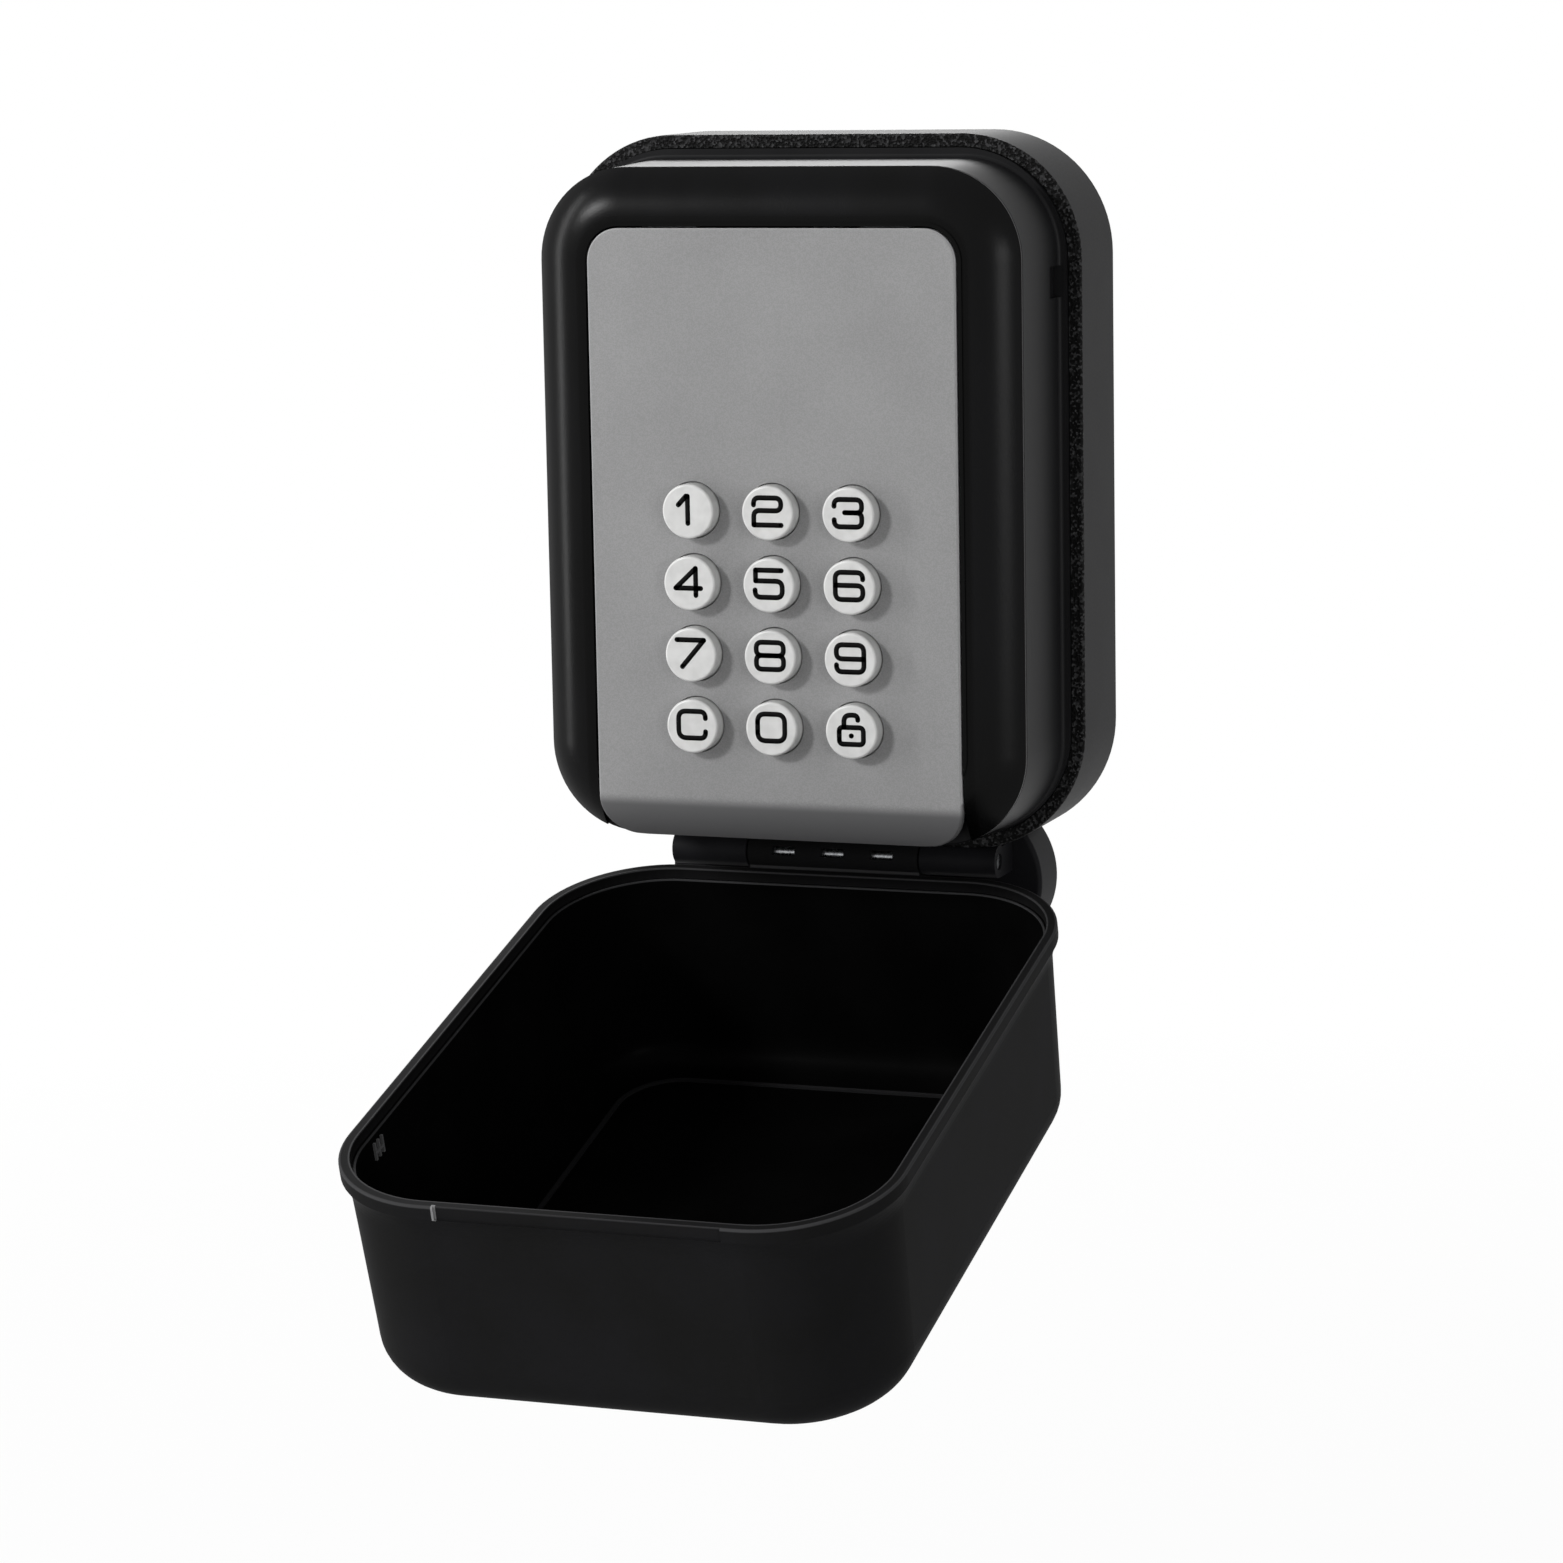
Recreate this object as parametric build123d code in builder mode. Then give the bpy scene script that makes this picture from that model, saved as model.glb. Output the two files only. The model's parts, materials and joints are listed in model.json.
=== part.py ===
from build123d import *
import os
from math import asin, atan, cos, degrees, radians, sin, tan

# Wall key safe, drawn with its door shut and its weather cover hinged down.
# Origin: centre of the wall face. +Z up, -Y out of the wall, millimetres.
# Depths are measured from the wall towards the viewer.

# Wall case
case_width = 99.0
case_height = 128.5
case_radius = 22.0
case_depth = 20.0
case_side_wall = 2.35
case_back_wall = 3.0
case_edge_round = 0.5
boss_radius = 4.5
case_screw_inset = 8.8
wall_hole_radius = 2.6
wall_hole_spacing_x = 56.0
wall_hole_spacing_z = 76.0
wall_pad_radius = 6.5
wall_pad_height = 0.8
hook_pilot_depth = 2.4

# Lock body: drafted shell in front of the wall case
body_depth = 20.0
body_wall = 2.5
body_draft = 2.0
ridge_inset = 4.65
ridge_inset_top = 4.9
ridge_inset_bottom = 4.05
ridge_radius = 16.4
flange_seat = 1.2
flange_proud = 1.0
flange_gap = 0.15
foot_round = 0.7
body_lip = 2.0
body_opening_side_lip = 7.5
body_opening_top_lip = 3.4
strike_height = 2.1
body_opening_radius = 3.0
ear_thickness = 4.0
seam_chamfer = 0.3

# Front bezel
bezel_width = 10.2
bezel_height = 4.6
bezel_edge = 0.5
bezel_flat = 0.7
bezel_inner_lip = 0.3
bezel_screw_drop = 11.0
bezel_screw_inset = 4.8

# Door plate
plate_gap = 0.35
plate_proud = 0.4
plate_thickness = 1.8
plate_foot_gap = 0.05
plate_edge_round = 0.35
lip_height = 8.1
lip_radius = 12.4
lip_corner_radius = 7.0

# Keypad
column_pitch = 15.0
row_pitch = 12.8
bottom_row_rise = 20.9
cap_radius = 4.85
cap_pressed_proud = 0.4
cap_round = 0.45
cap_gap = 0.25
collar_radius = 5.55
collar_thickness = 1.0
collar_play = 0.1
stem_radius = 2.5
stem_length = 7.8
stem_gap = 0.1
button_travel = 2.4
spring_radius = 3.6
spring_wire = 0.5
spring_turns = 3
guide_thickness = 7.0
guide_floor = 1.4
guide_side_gap = 0.4
guide_margin = 7.3
pocket_gap = 0.25

# Lock mechanism behind the door plate
chassis_inset = 3.15
chassis_wall = 1.6
chassis_depth = 15.6
chassis_top_drop = 1.4
chassis_foot = 8.15
chassis_radius = 4.0
ledge_depth = 1.6
ledge_gap = 0.3
post_radius = 3.5
post_inset_x = 4.5
post_inset_z = 4.5
plate_boss_height = 3.0
hook_width = 9.0
hook_spacing = 40.0
hook_catch = 4.6
hook_thickness = 2.0
hook_gap = 0.4
back_cover_thickness = 1.6
slide_side_gap = 1.0
slide_foot_gap = 0.3
slide_thickness = 1.1
slide_play = 0.3
slide_travel = 3.0
slot_width = 6.0
slide_head = 9.5
bolt_width = 14.0
bolt_front_gap = 0.3
bolt_depth = 5.8
bolt_clear = 1.2
bolt_shank = 3.1
bolt_gap = 0.25
rivet_radius = 1.0
rivet_spacing = 8.0
tab_width = 8.0
tab_height = 1.5
tab_depth = 4.0
latch_spring_length = 10.0
latch_spring_radius = 1.7
latch_spring_wire = 0.5
latch_spring_turns = 5
anchor_thickness = 1.6
bar_width = 50.0
bar_height = 7.5
bar_thickness = 1.5
bar_gap = 0.1
bar_hole_radius = 3.0
bar_post_radius = 1.5
bar_post_gap = 0.08
bar_post_spacing = 43.0

# Weather cover, sizes in its own closed frame
cover_depth = 41.0
cover_wall = 1.4
cover_inset = 1.2
cover_draft = 1.75
cover_floor_round = 8.0
rim_depth = 2.5
rim_flare_depth = 4.5
rim_flare_steps = 5
rim_edge_round = 0.4
rim_step_wall = 1.9
rim_step_depth = 2.0
floor_border_inset = 7.0
floor_border_width = 0.8
floor_border_height = 0.4
rib_count = 3
rib_pitch = 1.5
rib_thickness = 0.5
rib_height = 0.7
rib_length = 3.2
rib_drop = 26.0
rib_depth = 3.2
detent_height = 5.6
detent_depth = 0.9
detent_width = 4.6
recess_width = 50.0
recess_depth = 0.35
open_angle = 105.7

# Cover hinge
hinge_behind_rim = 2.2
hinge_below_case = 2.6
knuckle_radius = 3.0
pin_radius = 1.5
pin_press_gap = 0.02
pin_running_gap = 0.05
pin_end = 0.4
middle_knuckle_width = 32.8
knuckle_gap = 0.4
bracket_span = 62.5
hinge_shift = 1.3
channel_gap = 0.35
slot_count = 3
slot_pitch = 9.5
core_slot_length = 4.5
core_slot_height = 1.6
core_slot_depth = 1.8
core_slot_angle = 13.0
bracket_width = 72.0
bracket_shift = 2.0
bracket_height = 30.0
bracket_depth = 10.0
bracket_drop = 22.75
bracket_seat_gap = 0.1
bracket_seat_width = 48.0
bracket_edge_round = 0.8
stop_clear = 0.4
stop_gap = 0.06
stop_reach = 1.8
stop_thickness = 2.1
stop_foot = 1.2
web_reach = 9.0
web_gap = 0.2
web_bite = 0.9
web_root = 1.9
web_low = 2.6

# Fasteners and key hook
screw_radius = 1.5
screw_pilot_radius = 1.55
screw_head_radius = 2.7
screw_head_height = 1.8
screw_hole_radius = 1.7
screw_bite = 6.0
pilot_spare = 1.0
small_screw_radius = 1.0
small_screw_head_radius = 1.9
small_screw_head_height = 1.3
small_screw_bite = 2.2
thread_gap = 0.05
bracket_screw_spacing = 28.0
bracket_screw_depth = 6.0
hook_wire_radius = 1.25
hook_plate_width = 12.0
hook_plate_height = 14.0
hook_plate_thickness = 1.5
hook_plate_radius = 2.0
hook_plate_drop = 20.25
hook_wire_drop = 3.5
hook_screw_rise = 3.0
hook_reach_out = 10.0
hook_rise = 6.5
hook_bend = 3.0

# Places worked out from the sizes above
unit_width = case_width - 2 * ridge_inset
unit_height = case_height - ridge_inset_top - ridge_inset_bottom
case_screw_spacing_x = unit_width - 2 * case_screw_inset
case_screw_spacing_z = unit_height - 2 * case_screw_inset
unit_z = (ridge_inset_bottom - ridge_inset_top) / 2
unit_top = unit_z + unit_height / 2
unit_bottom = unit_z - unit_height / 2
ridge_d = case_depth + body_depth
flange_width = case_width - 2 * (case_side_wall + flange_gap)
flange_height = case_height - 2 * (case_side_wall + flange_gap)
flange_radius = case_radius - case_side_wall - flange_gap
flange_back = case_depth - flange_seat
body_inner_bottom = unit_bottom + body_wall
strike_top = body_inner_bottom + strike_height
opening_width = unit_width - 2 * bezel_width
opening_top = unit_top - bezel_width
opening_radius = ridge_radius - bezel_width
body_opening_width = unit_width - 2 * body_opening_side_lip

plate_d = ridge_d + bezel_height + plate_proud
plate_back = plate_d - plate_thickness
plate_width = opening_width - 2 * plate_gap
plate_radius = opening_radius - plate_gap
plate_top = opening_top - plate_gap
plate_bottom = unit_bottom + plate_foot_gap
plate_height = plate_top - plate_bottom
plate_z = (plate_top + plate_bottom) / 2
bend_z = plate_bottom + lip_height
bottom_row_z = plate_bottom + bottom_row_rise
keypad_z = bottom_row_z + 1.5 * row_pitch

cap_front = plate_d + button_travel + cap_pressed_proud
guide_back = plate_back - guide_thickness
pocket_depth = guide_thickness - guide_floor
pocket_radius = collar_radius + pocket_gap
guide_height = 3 * row_pitch + 2 * guide_margin
collar_front = plate_back - collar_play
collar_back = collar_front - collar_thickness
stem_end = collar_back - stem_length
slide_front = guide_back - slide_play
slide_back = slide_front - slide_thickness
slide_top = bottom_row_z + 3 * row_pitch + slide_head
chassis_width = plate_width - 2 * chassis_inset
guide_width = chassis_width - 2 * (chassis_wall + guide_side_gap)
chassis_back = plate_back - chassis_depth
chassis_top = plate_top - chassis_top_drop
chassis_bottom = plate_bottom + chassis_foot
chassis_height = chassis_top - chassis_bottom
chassis_z = (chassis_top + chassis_bottom) / 2
back_cover_back = chassis_back - back_cover_thickness
bar_front = stem_end - bar_gap
bar_back = bar_front - bar_thickness
bolt_front = ridge_d - body_lip - bolt_front_gap
bolt_back = bolt_front - bolt_depth
bolt_bottom = strike_top + bolt_clear
slide_bottom = chassis_bottom + chassis_wall + slide_travel + slide_foot_gap
shank_top = slide_bottom + bolt_shank
post_x = chassis_width / 2 - post_inset_x
post_z = chassis_height / 2 - post_inset_z
slide_width = 2 * (post_x - post_radius - slide_side_gap)
tab_top = slide_top + tab_height
anchor_z = tab_top + latch_spring_length
latch_spring_d = slide_front - tab_depth / 2

hinge_y = -(case_depth - hinge_behind_rim)
hinge_z = -case_height / 2 - hinge_below_case
knuckle_side = middle_knuckle_width / 2 + knuckle_gap
fixed_knuckle_width = bracket_span / 2 - knuckle_side
bracket_z = -case_height / 2 - bracket_drop + bracket_height / 2
bottom_z = -case_height / 2
arm_top = bottom_z - bracket_seat_gap
arm_bottom = hinge_z - knuckle_radius
cover_inner_inset = cover_inset + cover_wall
cover_inner_depth = cover_depth - cover_wall
floor_inset = cover_inner_inset + cover_inner_depth * tan(radians(cover_draft))
border_inset = floor_inset + floor_border_inset
hook_plate_front = case_back_wall + hook_plate_thickness
hook_plate_z = case_height / 2 - hook_plate_drop
hook_screw_z = hook_plate_z + hook_screw_rise
hinge_turn = (
    Location((0, hinge_y, hinge_z))
    * Location((0, 0, 0), (open_angle, 0, 0))
    * Location((0, -hinge_y, -hinge_z))
)


def front(depth):
    # plane facing the viewer, this far out of the wall
    return Plane.XZ.offset(depth)


def cover_front(depth):
    # plane of the open cover, this far in front of its rim
    return Plane(hinge_turn * front(case_depth + depth).location)


def outline(width, height, radius, z=0.0):
    with Locations((0, z)):
        RectangleRounded(width, height, radius)


def corner_places(spacing_x, spacing_z, z=0.0):
    return [
        (x, z + dz)
        for x in (-spacing_x / 2, spacing_x / 2)
        for dz in (-spacing_z / 2, spacing_z / 2)
    ]


def save(piece, name):
    piece.part.label = name
    export_step(piece.part, f"parts/{name}.step")


os.makedirs("parts", exist_ok=True)
case_screw_places = corner_places(case_screw_spacing_x, case_screw_spacing_z, unit_z)
wall_hole_places = corner_places(wall_hole_spacing_x, wall_hole_spacing_z)
lock_screw_places = corner_places(2 * post_x, 2 * post_z, chassis_z)
bezel_screw_places = corner_places(
    unit_width - 2 * bezel_screw_inset,
    unit_height - 2 * (ridge_radius + bezel_screw_drop),
    unit_z,
)
hinge_side = Plane.YZ.offset(hinge_shift)
bracket_screw_places = [
    (side * bracket_screw_spacing / 2, -bracket_screw_depth) for side in (-1, 1)
]
rivet_places = [
    (side * rivet_spacing / 2, slide_bottom + bolt_shank / 2) for side in (-1, 1)
]
bar_post_places = [(side * bar_post_spacing / 2, bottom_row_z) for side in (-1, 1)]

# Wall case: open pan with corner bosses, a hinge channel and wall screw holes
with BuildPart() as wall_case:
    with BuildSketch(front(0)):
        outline(case_width, case_height, case_radius)
    extrude(amount=case_depth)
    outer_edges = wall_case.faces().sort_by(Axis.Y)[0].edges()
    fillet(outer_edges, case_edge_round)
    with BuildSketch(front(case_back_wall)):
        outline(
            case_width - 2 * case_side_wall,
            case_height - 2 * case_side_wall,
            case_radius - case_side_wall,
        )
    extrude(amount=case_depth, mode=Mode.SUBTRACT)
    with BuildSketch(front(case_back_wall)):
        with Locations(*case_screw_places):
            Circle(boss_radius)
    extrude(amount=flange_back - case_back_wall)
    with BuildSketch(front(case_back_wall)):
        with Locations(*wall_hole_places):
            Circle(wall_pad_radius)
    extrude(amount=wall_pad_height)
    with BuildSketch(front(0)):
        with Locations(*wall_hole_places):
            Circle(wall_hole_radius)
    extrude(amount=case_back_wall + wall_pad_height, mode=Mode.SUBTRACT)
    with BuildSketch(front(flange_back)):
        with Locations(*case_screw_places):
            Circle(screw_pilot_radius)
    extrude(amount=-screw_bite - pilot_spare, mode=Mode.SUBTRACT)
    with BuildSketch(hinge_side):
        with Locations((hinge_y, hinge_z)):
            Circle(knuckle_radius + channel_gap)
    extrude(amount=bracket_span / 2 + channel_gap, both=True, mode=Mode.SUBTRACT)
    with BuildSketch(Plane.XY.offset(-case_height / 2)):
        with Locations(*bracket_screw_places):
            Circle(screw_hole_radius)
    extrude(amount=case_side_wall, mode=Mode.SUBTRACT)
    with BuildSketch(front(case_back_wall)):
        with Locations((0, hook_screw_z)):
            Circle(screw_pilot_radius)
    extrude(amount=-hook_pilot_depth, mode=Mode.SUBTRACT)
save(wall_case, "wall_case")

# Lock body: drafted shell with a base flange, a front lip and screw ears
with BuildPart() as lock_body:
    with BuildSketch(front(ridge_d)):
        outline(unit_width, unit_height, ridge_radius, unit_z)
    extrude(amount=-(body_depth - flange_proud), taper=-body_draft)
    with BuildSketch(front(flange_back)):
        outline(flange_width, flange_height, flange_radius)
    extrude(amount=flange_seat + flange_proud)
    flange_face = lock_body.faces().filter_by(Plane.XZ).sort_by(Axis.Y)[1]
    fillet(flange_face.inner_wires()[0].edges(), foot_round)
    chamfer(lock_body.faces().sort_by(Axis.Y)[0].edges(), seam_chamfer)
    with BuildSketch(front(ridge_d - body_lip)):
        outline(
            unit_width - 2 * body_wall,
            unit_height - 2 * body_wall,
            ridge_radius - body_wall,
            unit_z,
        )
    extrude(amount=-body_depth, mode=Mode.SUBTRACT)
    opening_low = strike_top
    opening_high = unit_top - body_wall - body_opening_top_lip
    with BuildSketch(front(ridge_d)):
        with Locations((0, (opening_low + opening_high) / 2)):
            RectangleRounded(
                body_opening_width, opening_high - opening_low, body_opening_radius
            )
    extrude(amount=-body_lip, mode=Mode.SUBTRACT)
    with BuildSketch(front(flange_back)):
        with Locations(*case_screw_places):
            Circle(boss_radius)
    extrude(amount=ear_thickness)
    with BuildSketch(front(flange_back)):
        with Locations(*case_screw_places):
            Circle(screw_hole_radius)
    extrude(amount=ear_thickness, mode=Mode.SUBTRACT)
    with BuildSketch(front(ridge_d)):
        with Locations(*bezel_screw_places):
            Circle(small_screw_radius + stem_gap)
    extrude(amount=-body_lip, mode=Mode.SUBTRACT)
    detent_x = unit_width / 2 + (body_depth - flange_proud) * tan(radians(body_draft))
    detent_d = case_depth + rib_depth
    with Locations(
        *[(s * detent_x, -detent_d, case_height / 2 - rib_drop) for s in (-1, 1)]
    ):
        Box(2 * detent_depth, detent_width, detent_height, mode=Mode.SUBTRACT)
save(lock_body, "lock_body")

# Front bezel: one quarter of the frame, mirrored, open at the foot for the lip
with BuildPart() as front_bezel:
    corner_x = unit_width / 2 - ridge_radius
    corner_z = unit_top - ridge_radius
    slope_width = bezel_width - bezel_flat
    with BuildSketch(Plane.XY.offset(corner_z)) as bezel_section:
        with BuildLine():
            outer_low = (unit_width / 2, -ridge_d)
            outer_high = (unit_width / 2, -ridge_d - bezel_edge)
            crown = (unit_width / 2 - slope_width, -ridge_d - bezel_height)
            lip_low = (crown[0], crown[1] - bezel_inner_lip)
            lip_high = (crown[0] - bezel_flat, lip_low[1])
            inner = (lip_high[0], -ridge_d)
            Line(outer_low, outer_high)
            TangentArc(crown, outer_high, tangent=(1, 0), tangent_from_first=True)
            Polyline(crown, lip_low, lip_high, inner, outer_low)
        make_face()
    corner_axis = Axis((corner_x, 0, corner_z), (0, 1, 0))
    revolve(axis=corner_axis, revolution_arc=-90)
    extrude(bezel_section.sketch, amount=-(corner_z - unit_z))
    extrude(front_bezel.faces().sort_by(Axis.X)[0], amount=corner_x)
    mirror(about=Plane.YZ)
    mirror(about=Plane.XY.offset(unit_z))
    with BuildSketch(front(ridge_d)):
        with Locations((0, unit_bottom)):
            Rectangle(opening_width, 2 * (opening_radius + bezel_width))
    extrude(amount=2 * bezel_height, mode=Mode.SUBTRACT)
    with BuildSketch(front(ridge_d)):
        with Locations(*bezel_screw_places):
            Circle(small_screw_radius + thread_gap)
    extrude(amount=small_screw_bite, mode=Mode.SUBTRACT)
save(front_bezel, "front_bezel")

# Door plate: flat plate whose foot bends back as a finger lip
with BuildPart() as door_plate:
    bend_angle = degrees(asin(lip_height / lip_radius))
    with BuildSketch(Plane.YZ):
        with BuildLine():
            face_line = Line((-plate_d, plate_top), (-plate_d, bend_z))
            face_bend = JernArc(face_line @ 1, (0, -1), lip_radius, bend_angle)
            back_line = Line((-plate_back, plate_top), (-plate_back, bend_z))
            back_bend = JernArc(
                back_line @ 1, (0, -1), lip_radius - plate_thickness, bend_angle
            )
            Line(face_line @ 0, back_line @ 0)
            Line(face_bend @ 1, back_bend @ 1)
        make_face()
    extrude(amount=plate_width / 2, both=True)
    with BuildSketch(front(0)) as plate_blank:
        with Locations((0, plate_z)):
            Rectangle(plate_width, plate_height)
        fillet(plate_blank.vertices().sort_by(Axis.Y)[2:], plate_radius)
        fillet(plate_blank.vertices().sort_by(Axis.Y)[:2], lip_corner_radius)
    extrude(amount=2 * plate_d, mode=Mode.INTERSECT)
    flat_face = door_plate.faces().sort_by(Axis.Y)[0]
    lip_face = door_plate.faces().filter_by(GeomType.CYLINDER).sort_by(SortBy.AREA)[-1]
    rim_edges = flat_face.edges().group_by(Axis.Z)[1:] + lip_face.edges().group_by(Axis.Z)[1:-1]
    fillet([edge for group in rim_edges for edge in group], plate_edge_round)
    with BuildSketch(front(plate_back)):
        with Locations(*lock_screw_places):
            Circle(post_radius)
    extrude(amount=-plate_boss_height)
    with BuildSketch(front(plate_back - plate_boss_height)):
        with Locations(*lock_screw_places):
            Circle(screw_radius + thread_gap)
    extrude(amount=plate_boss_height, mode=Mode.SUBTRACT)
    with BuildSketch(front(plate_d)):
        with Locations((0, keypad_z)):
            with GridLocations(column_pitch, row_pitch, 3, 4):
                Circle(cap_radius + cap_gap)
    extrude(amount=-plate_thickness, mode=Mode.SUBTRACT)
save(door_plate, "door_plate")

# Push buttons: crowned cap, collar behind the plate and guided stem
keys = ["1", "2", "3", "4", "5", "6", "7", "8", "9", "c", "0", "open"]
for index, key in enumerate(keys):
    key_x = (index % 3 - 1) * column_pitch
    key_z = keypad_z + (1.5 - index // 3) * row_pitch
    with BuildPart() as button:
        with BuildSketch(front(collar_front)):
            with Locations((key_x, key_z)):
                Circle(cap_radius)
        extrude(amount=cap_front - collar_front)
        fillet(button.faces().sort_by(Axis.Y)[0].edges(), cap_round)
        with BuildSketch(front(collar_back)):
            with Locations((key_x, key_z)):
                Circle(collar_radius)
        extrude(amount=collar_thickness)
        with BuildSketch(front(stem_end)):
            with Locations((key_x, key_z)):
                Circle(stem_radius)
        extrude(amount=stem_length)
    save(button, f"button_{key}")
    with BuildPart() as spring:
        with BuildLine():
            floor_d = guide_back + guide_floor + spring_wire / 2
            free_length = collar_back - guide_back - guide_floor - spring_wire
            coil = Helix(
                free_length / spring_turns,
                free_length,
                spring_radius,
                center=(key_x, -floor_d, key_z),
                direction=(0, -1, 0),
            )
        with BuildSketch(Plane(origin=coil @ 0, z_dir=coil % 0)):
            Circle(spring_wire / 2)
        sweep()
    save(spring, f"spring_{key}")

# Button guide: bores for the stems and seats for the springs
with BuildPart() as button_guide:
    with BuildSketch(front(guide_back)):
        with Locations((0, keypad_z)):
            Rectangle(guide_width, guide_height)
        with Locations(*lock_screw_places):
            Circle(post_radius + ledge_gap, mode=Mode.SUBTRACT)
    extrude(amount=guide_thickness)
    with BuildSketch(front(plate_back)):
        with Locations((0, keypad_z)):
            with GridLocations(column_pitch, row_pitch, 3, 4):
                Circle(pocket_radius)
    extrude(amount=-pocket_depth, mode=Mode.SUBTRACT)
    with BuildSketch(front(plate_back)):
        with Locations((0, keypad_z)):
            with GridLocations(column_pitch, row_pitch, 3, 4):
                Circle(stem_radius + stem_gap)
    extrude(amount=-guide_thickness, mode=Mode.SUBTRACT)
save(button_guide, "button_guide")

# Lock chassis: frame with screw posts, guide ledges, spring anchor and top hooks
with BuildPart() as lock_chassis:
    with BuildSketch(front(chassis_back)):
        outline(chassis_width, chassis_height, chassis_radius, chassis_z)
        offset(amount=-chassis_wall, mode=Mode.SUBTRACT)
    extrude(amount=chassis_depth)
    with BuildSketch(front(chassis_back)):
        with Locations(*lock_screw_places):
            Circle(post_radius)
    extrude(amount=chassis_depth - plate_boss_height)
    with BuildSketch(front(plate_back)):
        with Locations(*lock_screw_places):
            Circle(post_radius + ledge_gap)
    extrude(amount=-plate_boss_height, mode=Mode.SUBTRACT)
    ledge_width = chassis_width / 2 - slide_width / 2 - ledge_gap
    ledge_x = slide_width / 2 + ledge_gap + ledge_width / 2
    with BuildSketch(front(guide_back)):
        with Locations((-ledge_x, keypad_z), (ledge_x, keypad_z)):
            Rectangle(ledge_width, guide_height)
    extrude(amount=-ledge_depth)
    with BuildSketch(front(slide_front)):
        with Locations((0, anchor_z + anchor_thickness / 2)):
            Rectangle(chassis_width - chassis_wall, anchor_thickness)
    extrude(amount=-tab_depth)
    with BuildSketch(front(ridge_d - hook_gap)):
        with Locations((0, chassis_top - chassis_wall / 2)):
            with GridLocations(hook_spacing, 1, 2, 1):
                Rectangle(hook_width, 2 * hook_catch + chassis_wall)
    extrude(amount=-hook_thickness)
    with BuildSketch(front(plate_back)):
        with Locations((0, chassis_bottom)):
            Rectangle(bolt_width + 2 * bolt_gap, 2 * chassis_wall)
    bolt_window = bolt_back - bolt_gap
    extrude(amount=-(plate_back - bolt_window), mode=Mode.SUBTRACT)
    with BuildSketch(front(chassis_back)):
        with Locations(*lock_screw_places):
            Circle(screw_hole_radius)
    extrude(amount=chassis_depth, mode=Mode.SUBTRACT)
save(lock_chassis, "lock_chassis")

# Lock back cover: closes the chassis and carries the posts of the reset bar
with BuildPart() as lock_back_cover:
    with BuildSketch(front(back_cover_back)):
        outline(chassis_width, chassis_height, chassis_radius, chassis_z)
    extrude(amount=back_cover_thickness)
    with BuildSketch(front(chassis_back)):
        with Locations(*bar_post_places):
            Circle(bar_post_radius)
    extrude(amount=bar_front - chassis_back)
    with BuildSketch(front(back_cover_back)):
        with Locations(*lock_screw_places):
            Circle(screw_hole_radius)
    extrude(amount=back_cover_thickness, mode=Mode.SUBTRACT)
save(lock_back_cover, "lock_back_cover")

# Lock slide: plate with twelve long slots, a spring tab on top
with BuildPart() as lock_slide:
    with BuildSketch(front(slide_back)):
        with Locations((0, (slide_top + slide_bottom) / 2)):
            Rectangle(slide_width, slide_top - slide_bottom)
        slot_length = slot_width + slide_travel
        with Locations((0, keypad_z + slide_travel / 2)):
            with GridLocations(column_pitch, row_pitch, 3, 4):
                SlotOverall(slot_length, slot_width, rotation=90, mode=Mode.SUBTRACT)
        with Locations(*rivet_places):
            Circle(rivet_radius, mode=Mode.SUBTRACT)
    extrude(amount=slide_thickness)
    with BuildSketch(front(slide_front)):
        with Locations((0, slide_top + tab_height / 2)):
            Rectangle(tab_width, tab_height)
    extrude(amount=-tab_depth)
save(lock_slide, "lock_slide")

# Latch bolt: head behind the strike, shank riveted behind the slide
with BuildPart() as latch_bolt:
    with BuildSketch(Plane.YZ):
        with BuildLine():
            Polyline(
                (-bolt_front, bolt_bottom),
                (-bolt_back, bolt_bottom),
                (-bolt_back, shank_top),
                (-slide_back, shank_top),
                (-slide_back, slide_bottom),
                (-bolt_front, slide_bottom),
                close=True,
            )
        make_face()
    extrude(amount=bolt_width / 2, both=True)
    with BuildSketch(front(slide_back)):
        with Locations(*rivet_places):
            Circle(rivet_radius)
    extrude(amount=-(slide_back - bolt_back), mode=Mode.SUBTRACT)
save(latch_bolt, "latch_bolt")

# Two rivets through slide and bolt
with BuildPart() as latch_rivets:
    with BuildSketch(front(bolt_back)):
        with Locations(*rivet_places):
            Circle(rivet_radius - pin_press_gap)
    extrude(amount=slide_front - bolt_back)
save(latch_rivets, "latch_rivets")

# Latch spring between the slide's tab and the chassis anchor
with BuildPart() as latch_spring:
    with BuildLine():
        latch_free = latch_spring_length - latch_spring_wire
        latch_coil = Helix(
            latch_free / latch_spring_turns,
            latch_free,
            latch_spring_radius,
            center=(0, -latch_spring_d, tab_top + latch_spring_wire / 2),
        )
    with BuildSketch(Plane(origin=latch_coil @ 0, z_dir=latch_coil % 0)):
        Circle(latch_spring_wire / 2)
    sweep()
save(latch_spring, "latch_spring")

# Reset bar: crosses the bottom row, only the left stem rests on it
with BuildPart() as reset_bar:
    with BuildSketch(front(bar_back)):
        with Locations((0, bottom_row_z)):
            Rectangle(bar_width, bar_height)
        with Locations((0, bottom_row_z), (column_pitch, bottom_row_z)):
            Circle(bar_hole_radius, mode=Mode.SUBTRACT)
        with Locations(*bar_post_places):
            Circle(bar_post_radius + bar_post_gap, mode=Mode.SUBTRACT)
    extrude(amount=bar_thickness)
save(reset_bar, "reset_bar")

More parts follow.
